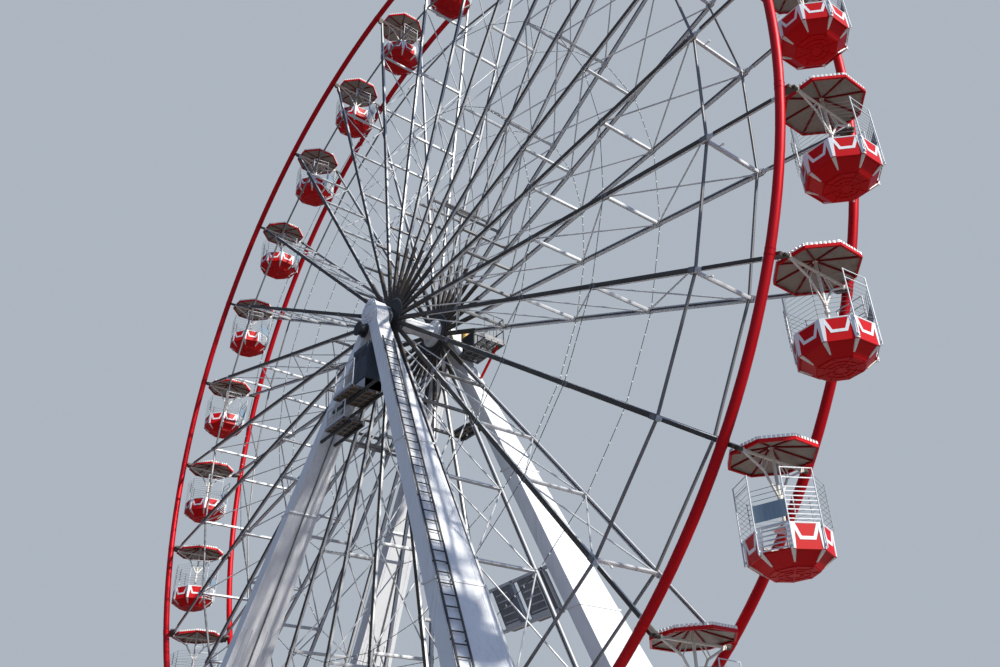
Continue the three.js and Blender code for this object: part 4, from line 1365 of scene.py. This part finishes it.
def face_line(handed, face, share, proud, high_drop=HEAD_DROP + 0.4):
    """Two ends of a line down a leg's +X face, at a share of its width from the inner side."""
    ends = []
    for drop in (high_drop, FOOT_DROP - 0.25):
        low, high = leg_sides(drop)
        ends.append(on_leg(handed, face, drop, LEG_WIDTH / 2 + proud, low + share * (high - low)))
    return ends


pipe_parts, rib_parts = [], []
for face in (-1, 1):
    start, end = face_line(-1, face, 0.5, 0.03)
    pipe_parts.append(rods(start, end, circle(0.024, 12)))
    clips = start + (end - start) * np.linspace(0.02, 0.98, CLIP_COUNT)[:, None]
    pipe_parts.append(rods(clips - [0.035, 0, 0], clips + [0.026, 0, 0], box_section(0.09, 0.03)))
    for share in RIB_SHARES:
        rib_parts.append(rods(*face_line(-1, face, share, 0.012, RIB_DROP), box_section(0.026, 0.03)))
parts = [(join(pipe_parts), old_zinc), (join(rib_parts), white_paint)]
count = put("cable_pipes", parts, "support")
print("cable pipes and ribs:", count, "triangles")

to_left_face = np.array([-LEG_WIDTH - 0.008, 0, 0])
strips = []
for handed in (-1, 1):
    for face in (-1, 1):
        for share in STRIP_SHARES:
            ends = np.array(face_line(handed, face, share, 0.004))
            strips += [rods(*ends, STRIP_SECTION), rods(*(ends + to_left_face), STRIP_SECTION)]
count = put("leg_weld_strips", [(join(strips), white_paint)], "support")
print("weld strips:", count, "triangles")

# %% [markdown]
# ### The ladder
# The ladder stands off the near right leg's right face, close to its outer edge. It has
# 57 rungs, about a foot apart. The plain solid has fewer, so this piece stands for it.

# %% Ladder
LADDER_FOOT_DROP, LADDER_TOP_DROP = HUB_HEIGHT - 1.5, 1.5
LADDER_EDGE, LADDER_WIDTH, LADDER_STANDOFF = 0.01, 0.37, 0.08
RUNG_COUNT, BRACKET_COUNT = 57, 9


def on_ladder(drops, rail, off):
    """Points on the ladder's rail 0 or 1 at an array of drops, a distance off the leg's face."""
    outer = leg_sides(drops)[1]
    return np.c_[LEG_SLOPE * drops + LEG_WIDTH / 2 + off, -outer + LADDER_EDGE + rail * LADDER_WIDTH,
                 HUB_HEIGHT - drops]


ends = np.array([LADDER_FOOT_DROP, LADDER_TOP_DROP])
rail_ends = [on_ladder(ends, rail, LADDER_STANDOFF) for rail in (0, 1)]
rails = join([rods(*pair, box_section(0.03, 0.05, 0.006)) for pair in rail_ends])
rung_drops = np.linspace(LADDER_TOP_DROP + 0.15, LADDER_FOOT_DROP - 0.15, RUNG_COUNT)
rung_ends = [on_ladder(rung_drops, rail, LADDER_STANDOFF) for rail in (0, 1)]
rungs = rods(*rung_ends, circle(0.016, 8))
bracket_drops = np.linspace(LADDER_TOP_DROP + 0.6, LADDER_FOOT_DROP - 0.6, BRACKET_COUNT)
brackets = join([
    rods(on_ladder(bracket_drops, rail, 0.003), on_ladder(bracket_drops, rail, LADDER_STANDOFF),
         box_section(0.04, 0.012))
    for rail in (0, 1)
])
count = put("rung_ladder", [(join([rails, rungs, brackets]), dark_steel)], "support",
            ["leg_ladder"])
print("ladder:", count, "triangles")

# %% [markdown]
# ### Bearings
# Each bearing is a cast block on top of a pair of legs, with a bolted cover round the
# shaft on its outer face and a seal on its inner one. Both are rings, and the bolts are
# copies in a circle. A dark cable drum sits beside the near bearing, on the left leg.

# %% Bearing covers
COVER_OUTLINE = np.array([
    (0.245, -0.001), (0.44, -0.001), (0.44, 0.025), (0.40, 0.035), (0.33, 0.035), (0.31, 0.055),
    (0.25, 0.055),
])
REEL_PROFILE = [(0, 0), (0.20, 0), (0.24, 0.01), (0.24, 0.05), (0.19, 0.06), (0.19, 0.24), (0.24, 0.25),
                (0.24, 0.29), (0.20, 0.30), (0, 0.30)]
REEL_PLACE = (-0.16, HEAD_SIDES[1], -0.66)


def bearing_cover():
    """A stepped ring round the shaft with twelve bolts, lying on the bearing's outer face."""
    ring = hoop(COVER_OUTLINE + [0, HEAD_SIDES[1]], 0.0, RING_STEPS)
    return join([ring, bolt_circle(0.37, 12, HEAD_SIDES[1] + 0.034, 0.025)])


def bearing_seal():
    """A stepped ring round the shaft on the bearing's inner face, short of the wheel's flange."""
    low, high = HEAD_SIDES[0] - 0.21, HEAD_SIDES[0] - 0.001
    outline = [(0.245, low), (0.32, low), (0.32, low + 0.05), (0.36, low + 0.06), (0.36, high), (0.245, high)]
    return hoop(outline, 0.0, RING_STEPS)


covers, seals = [
    join([at_hub(facing(face, shape)) for face in (-1, 1)]) for shape in (bearing_cover(), bearing_seal())
]
reel = at_hub(facing(-1, shifted(lying_along_y(turned(REEL_PROFILE, 32)), *REEL_PLACE)))
parts = [(covers, white_paint), (seals, old_zinc), (reel, dark_steel)]
count = put("bearing_covers", parts, "support")
print("bearing covers:", count, "triangles")

# %% [markdown]
# ## Service platforms and cabinet
# Fitters stand on small decks between the legs, under each bearing. From below one sees a
# steel frame with beams both ways and dark planks between them, so it is made of real
# bars with planks over them. Two bearers carry each deck from the legs that hold it.

# %% Decks and railings
DECK_THICKNESS, BEARER = 0.08, 0.07
RAILING_HEIGHT = 0.94
PLATFORMS = {
    "near_service_platform": {"face": -1, "x": (-0.73, 0.40), "sides": (1.22, 2.28), "drop": 3.0,
                              "held": (-1, 1), "guard": RAILING_HEIGHT},
    "near_lower_platform": {"face": -1, "x": (-1.20, -0.08), "sides": (1.50, 2.22), "drop": 3.85,
                            "held": (-1,), "guard": 0.60},
    "far_service_platform": {"face": 1, "x": (-0.02, 0.92), "sides": (1.48, 2.13), "drop": 3.5,
                             "held": (1,), "guard": RAILING_HEIGHT},
}


def beam_grid(x, y, top, columns, rows):
    """An edge frame with beams both ways: full-depth bars at equal shares of each side."""
    bars = []
    for at in np.linspace(x[0] + 0.02, x[1] - 0.02, columns + 1):
        bars.append(block((at - 0.02, at + 0.02), y, (top - DECK_THICKNESS, top - 0.025)))
    for at in np.linspace(y[0] + 0.02, y[1] - 0.02, rows + 1):
        bars.append(block(x, (at - 0.02, at + 0.02), (top - DECK_THICKNESS + 0.004, top - 0.021)))
    return join(bars)


def deck_planks(x, y, top, width=0.11, gap=0.008):
    """Boards along X with a gap between them, lying on the beams."""
    count = int((y[1] - y[0]) / width)
    edges = np.linspace(y[0], y[1], count + 1)
    return join([block(x, (low + gap / 2, high - gap / 2), (top - 0.024, top), 0.004)
                 for low, high in zip(edges[:-1], edges[1:])])


def railing(start, end, foot, height, posts):
    """Upright posts, a top tube, a middle tube and a toe board between two places (x, y) on a floor."""
    start, end = np.array([*start, foot]), np.array([*end, foot])
    stand = start + (end - start) * np.linspace(0, 1, posts)[:, None] - [0, 0, 0.02]
    levels = np.array([[0, 0, height - 0.025], [0, 0, height / 2]])
    board = np.array([0, 0, 0.06])
    return join([
        rods(stand, stand + [0, 0, height], circle(0.022, 10)),
        rods(start + levels, end + levels, circle(0.019, 10), (0, 0, 1)),
        rods(start + board, end + board, box_section(0.01, 0.12), (0, 0, 1)),
    ])


def deck_bearers(face, x, sides, drop, held):
    """Two bars under a deck, from the legs that hold it to the deck's other end."""
    under = HUB_HEIGHT - drop - DECK_THICKNESS
    reach = LEG_SLOPE * (HUB_HEIGHT - under - BEARER / 2) - LEG_WIDTH / 2
    ends = (-reach if -1 in held else x[0], reach if 1 in held else x[1])
    leg_inner, leg_outer = leg_sides(drop)
    middles = (max(sides[0], leg_inner) + BEARER / 2, min(sides[1], leg_outer) - BEARER / 2)
    return join([
        block(ends, (face * side - BEARER / 2, face * side + BEARER / 2), (under - BEARER, under + 0.002))
        for side in middles
    ])


for name, deck in PLATFORMS.items():
    face, x, sides = deck["face"], deck["x"], deck["sides"]
    top = HUB_HEIGHT - deck["drop"]
    y = tuple(sorted((face * sides[0], face * sides[1])))
    guard_y = face * (sides[1] - 0.025)
    guard = railing((x[0] + 0.025, guard_y), (x[1] - 0.025, guard_y), top, deck["guard"], 3)
    count = put(name.replace("platform", "deck"), [
        (beam_grid(x, y, top, 4, 4), old_zinc), (deck_planks(x, y, top), planks),
        (deck_bearers(face, x, sides, deck["drop"], deck["held"]), dark_steel), (guard, zinc),
    ], "support", [name])
    print(name, count, "triangles")

# %% Cabinet under the near bearing
CABINET_X, CABINET_SIDES = (-0.45, 0.45), (1.28, 1.86)
PLINTH_HEIGHT, CABINET_TOP = 0.35, 1.6
LOUVRES = 6
cabinet_floor = HUB_HEIGHT - PLATFORMS["near_service_platform"]["drop"]
finish_node("near_cabinet", machine_paint)


def cabinet_doors():
    """Two doors with louvres and a handle, proud of the cabinet's outer face."""
    middle = sum(CABINET_X) / 2
    low, high = cabinet_floor + PLINTH_HEIGHT + 0.04, cabinet_floor + CABINET_TOP - 0.05
    y = -CABINET_SIDES[1]
    parts = []
    for left, right_x in ((CABINET_X[0] + 0.03, middle - 0.006), (middle + 0.006, CABINET_X[1] - 0.03)):
        parts.append(block((left, right_x), (y - 0.014, y + 0.002), (low, high)))
        levels = np.linspace(high - 0.35, high - 0.12, LOUVRES)
        start = np.c_[np.full(LOUVRES, left + 0.06), np.full(LOUVRES, y - 0.018), levels]
        parts.append(rods(start, start + [right_x - left - 0.12, 0, 0], box_section(0.016, 0.012)))
    handle = [[middle + 0.04, y - 0.03, low + 0.5]]
    parts.append(rods(handle, np.add(handle, [0, 0, 0.14]), circle(0.009, 8)))
    return join(parts)


plinth_cover = block((CABINET_X[0] - 0.012, 0.40), (-CABINET_SIDES[1] - 0.012, -CABINET_SIDES[0] + 0.012),
                     (cabinet_floor + 0.002, cabinet_floor + PLINTH_HEIGHT - 0.02))
parts = [(cabinet_doors(), machine_paint), (plinth_cover, zinc)]
count = put("cabinet_doors", parts, "support")
print("cabinet doors:", count, "triangles")

# %% [markdown]
# ### The drive balcony and the switch rack
# Two more fittings hang on the far right leg. Near its top a balcony carries a drive
# housing over a red strut. Half way down, a frame holds two tall switch boxes. Both are
# built from the same planks, beams and rods as the decks.

# %% Drive balcony
BALCONY_TOP, BALCONY_SIDES, BALCONY_END = HUB_HEIGHT - 1.15, (1.15, 1.95), 2.4
HOUSING_X, HOUSING_SIDES, HOUSING_HEIGHT = (1.0, 1.7), (1.25, 1.8), 0.62
FIN_COUNT = 7
MOTOR_PROFILE = [(0, 0), (0.12, 0), (0.13, 0.03), (0.13, 0.3), (0.09, 0.34), (0, 0.34)]
STRUT_SIDE, STRUT_TOP_X, STRUT_FOOT_X = 1.76, 2.25, 1.365
balcony_start = LEG_SLOPE * 1.23 + LEG_WIDTH / 2


def drive_housing():
    """A ribbed box: a rounded block and seven thin fins that stand proud on both long faces."""
    floor_z = BALCONY_TOP
    body = block(HOUSING_X, HOUSING_SIDES, (floor_z, floor_z + HOUSING_HEIGHT), 0.04)
    levels = np.linspace(floor_z + 0.08, floor_z + HOUSING_HEIGHT - 0.08, FIN_COUNT)
    fin_x = (HOUSING_X[0] + 0.04, HOUSING_X[1] - 0.04)
    fin_y = (HOUSING_SIDES[0] - 0.012, HOUSING_SIDES[1] + 0.012)
    return join([body, *[block(fin_x, fin_y, (level - 0.008, level + 0.008), 0.006) for level in levels]])


strut_top = (STRUT_TOP_X, STRUT_SIDE, BALCONY_TOP - DECK_THICKNESS)
strut_foot = (STRUT_FOOT_X, STRUT_SIDE, HUB_HEIGHT - (STRUT_FOOT_X - 0.035 - LEG_WIDTH / 2) / LEG_SLOPE)
strut = rods(strut_top, strut_foot, box_section(0.07, 0.07, 0.01))
motor = shifted(turned(MOTOR_PROFILE, 20), HOUSING_X[0] - 0.02, HOUSING_SIDES[0] + 0.14,
                BALCONY_TOP + HOUSING_HEIGHT - 0.04)
balcony_x = (balcony_start, BALCONY_END)
rail_start, rail_end = balcony_start + 0.03, BALCONY_END - 0.025
near_line, far_line = BALCONY_SIDES[0] + 0.025, BALCONY_SIDES[1] - 0.025
guards = join([
    railing((rail_start, far_line), (rail_end, far_line), BALCONY_TOP, RAILING_HEIGHT, 5),
    railing((rail_end, near_line), (rail_end, far_line), BALCONY_TOP, RAILING_HEIGHT, 3),
])
count = put("drive_balcony", [
    (beam_grid(balcony_x, BALCONY_SIDES, BALCONY_TOP, 5, 3), old_zinc),
    (deck_planks(balcony_x, BALCONY_SIDES, BALCONY_TOP, 0.055, 0.035), old_zinc),
    (drive_housing(), machine_paint), (strut, red_paint), (motor, yellow_paint), (guards, old_zinc),
], "support", ["far_drive_balcony"])
print("drive balcony:", count, "triangles")

# %% Switch rack
RACK_DROPS, RACK_REACH = (9.05, 10.36), 2.8
RACK_SIDES, BOX_SIDES = (1.52, 1.60), (1.54, 1.80)
RACK_BOXES = ((0.45, 1.45), (1.85, 2.55))
RACK_POSTS = (0.30, 1.62, RACK_REACH - 0.05)


def leaning_block(span, sides, drops):
    """A box whose ends lean with the far right leg: X is counted left from the leg's inner face."""
    rings = []
    for drop in (drops[1], drops[0]):
        edge = LEG_SLOPE * drop - LEG_WIDTH / 2
        rings.append(box_section(span[1] - span[0], sides[1] - sides[0]) + [
            edge - sum(span) / 2, sum(sides) / 2])
    heights = (HUB_HEIGHT - drops[1], HUB_HEIGHT - drops[0])
    return loft([np.c_[ring, np.full(len(ring), height)] for ring, height in zip(rings, heights)])


high, low = RACK_DROPS
rack_bars = [(high, high + 0.08), (low - 0.08, low)]
rack_frame = [leaning_block((0.0003, RACK_REACH), RACK_SIDES, drops) for drops in rack_bars]
rack_frame += [leaning_block((at, at + 0.05), RACK_SIDES, RACK_DROPS) for at in RACK_POSTS]
rack_boxes, louvres = [], []
for near, far in RACK_BOXES:
    rack_boxes.append(leaning_block((near, far), BOX_SIDES, (high + 0.04, low - 0.04)))
    louvre_sides, tray_sides = [(BOX_SIDES[0] - proud, BOX_SIDES[0] + 0.002) for proud in (0.012, 0.03)]
    for drop in np.linspace(high + 0.25, low - 0.25, 5):
        louvres.append(leaning_block((near + 0.1, far - 0.1), louvre_sides, (drop, drop + 0.03)))
    louvres.append(leaning_block((near + 0.04, far - 0.04), tray_sides, (low - 0.16, low - 0.06)))
parts = [(join(rack_frame), zinc), (join(rack_boxes), old_zinc), (join(louvres), zinc)]
count = put("switch_rack", parts, "support", ["far_equipment_rack"])
print("switch rack:", count, "triangles")

# %% [markdown]
# ## Ground frame and boarding deck
# The ground frame is out of the picture, and is finished as such a wheel's usually is:
# long box beams under the legs, cross beams at their ends and a low deck between them.

# %% Ground frame
for name in ("near_base_beam", "far_base_beam", "left_cross_beam", "right_cross_beam"):
    finish_node(name, white_paint)
for name in ("boarding_platform", "near_deck_railing", "far_deck_railing", "left_stair", "right_stair"):
    finish_node(name, tread_plate)

GUSSET_PLACES = (-10.7, -10.2, -8.0, -5.5, 5.5, 8.0, 10.2, 10.7)
GUSSET_SIDES = (FOOT_SIDES[1] - 0.001, FOOT_SIDES[1] + 0.03)
gussets = [
    facing(face, block((x - 0.02, x + 0.02), GUSSET_SIDES, (0.02, 0.58)))
    for face in (-1, 1) for x in GUSSET_PLACES
]
count = put("beam_stiffeners", [(join(gussets), white_paint)], "support")
print("stiffeners:", count, "triangles")

# %% [markdown]
# ## Floor and light
# The wheel stands on a plain pale floor that isn't part of it. A broad, warm sun from the
# right stands for the low sun in the picture, and a bluish sky fills the shade, less from
# the side away from the sun. The shade in the picture is deep, so what the camera sees of
# the floor and the sky is paler than what they give back as light: a Light Path node tells
# the two kinds of ray apart. The Standard view keeps the reds as bright as in the picture.

# %% Floor
FLOOR_REACH = 150.0
FLOOR_LIT, FLOOR_SEEN = (0.20, 0.19, 0.18, 1), (0.62, 0.62, 0.61, 1)
floor_mesh = bpy.data.meshes.new("floor")
floor_mesh.from_pydata(
    [(x * FLOOR_REACH, y * FLOOR_REACH, -0.002) for x, y in ((-1, -1), (1, -1), (1, 1), (-1, 1))],
    [], [(0, 1, 2, 3)],
)
floor = new_object("floor", floor_mesh)
floor_finish = bpy.data.materials.new("pale_floor")
floor_finish.use_nodes = True
floor_tree = floor_finish.node_tree
floor_shader = floor_tree.nodes["Principled BSDF"]
seen = node(floor_tree, "ShaderNodeLightPath").outputs["Is Camera Ray"]
floor_tree.links.new(color_mix(floor_tree, seen, FLOOR_LIT, FLOOR_SEEN), floor_shader.inputs["Base Color"])
floor_shader.inputs["Roughness"].default_value = 0.9
floor_mesh.materials.append(floor_finish)
print("floor:", 2 * FLOOR_REACH, "m square")

# %% Sun and sky
SUN_AZIMUTH, SUN_HEIGHT, SUN_ANGLE = math.radians(14), math.radians(33), math.radians(2)
SUN_POWER, SUN_COLOR = 5.5, (1.0, 0.965, 0.90)
SKY_LIT, SKY_SEEN = (0.30, 0.40, 0.62, 1), (0.42, 0.47, 0.53, 1)
AWAY_SHARE, SUNWARD_SHARE = 0.25, 1.15
sun_data = bpy.data.lights.new("low_sun", "SUN")
sun_data.energy = SUN_POWER
sun_data.angle = SUN_ANGLE
sun_data.color = SUN_COLOR
sun = new_object("low_sun", sun_data)
to_sun = np.array([
    math.cos(SUN_HEIGHT) * math.cos(SUN_AZIMUTH), math.cos(SUN_HEIGHT) * math.sin(SUN_AZIMUTH),
    math.sin(SUN_HEIGHT),
])
sideways = np.cross((0, 0, 1), to_sun)
sideways /= np.linalg.norm(sideways)
above = np.cross(to_sun, sideways)
aim(sun, sideways, above, to_sun, (0, 0, 0))

world = bpy.data.worlds.new("pale_sky")
world.use_nodes = True
sky_tree = world.node_tree
background = sky_tree.nodes["Background"]
seen = node(sky_tree, "ShaderNodeLightPath").outputs["Is Camera Ray"]
direction = node(sky_tree, "ShaderNodeTexCoord").outputs["Generated"]
towards_right = node(sky_tree, "ShaderNodeSeparateXYZ", {0: direction}).outputs["X"]
sunward = ramp(sky_tree, towards_right, -0.9, 0.6, AWAY_SHARE, SUNWARD_SHARE)
unseen = math_node(sky_tree, "SUBTRACT", 1.0, seen)
fill = math_node(sky_tree, "MULTIPLY", sunward, unseen)
sky_tree.links.new(math_node(sky_tree, "MAXIMUM", seen, fill), background.inputs["Strength"])
sky_tree.links.new(color_mix(sky_tree, seen, SKY_LIT, SKY_SEEN), background.inputs["Color"])
bpy.context.scene.world = world
bpy.context.scene.view_settings.view_transform = "Standard"
print("sun from", np.round(to_sun, 2))
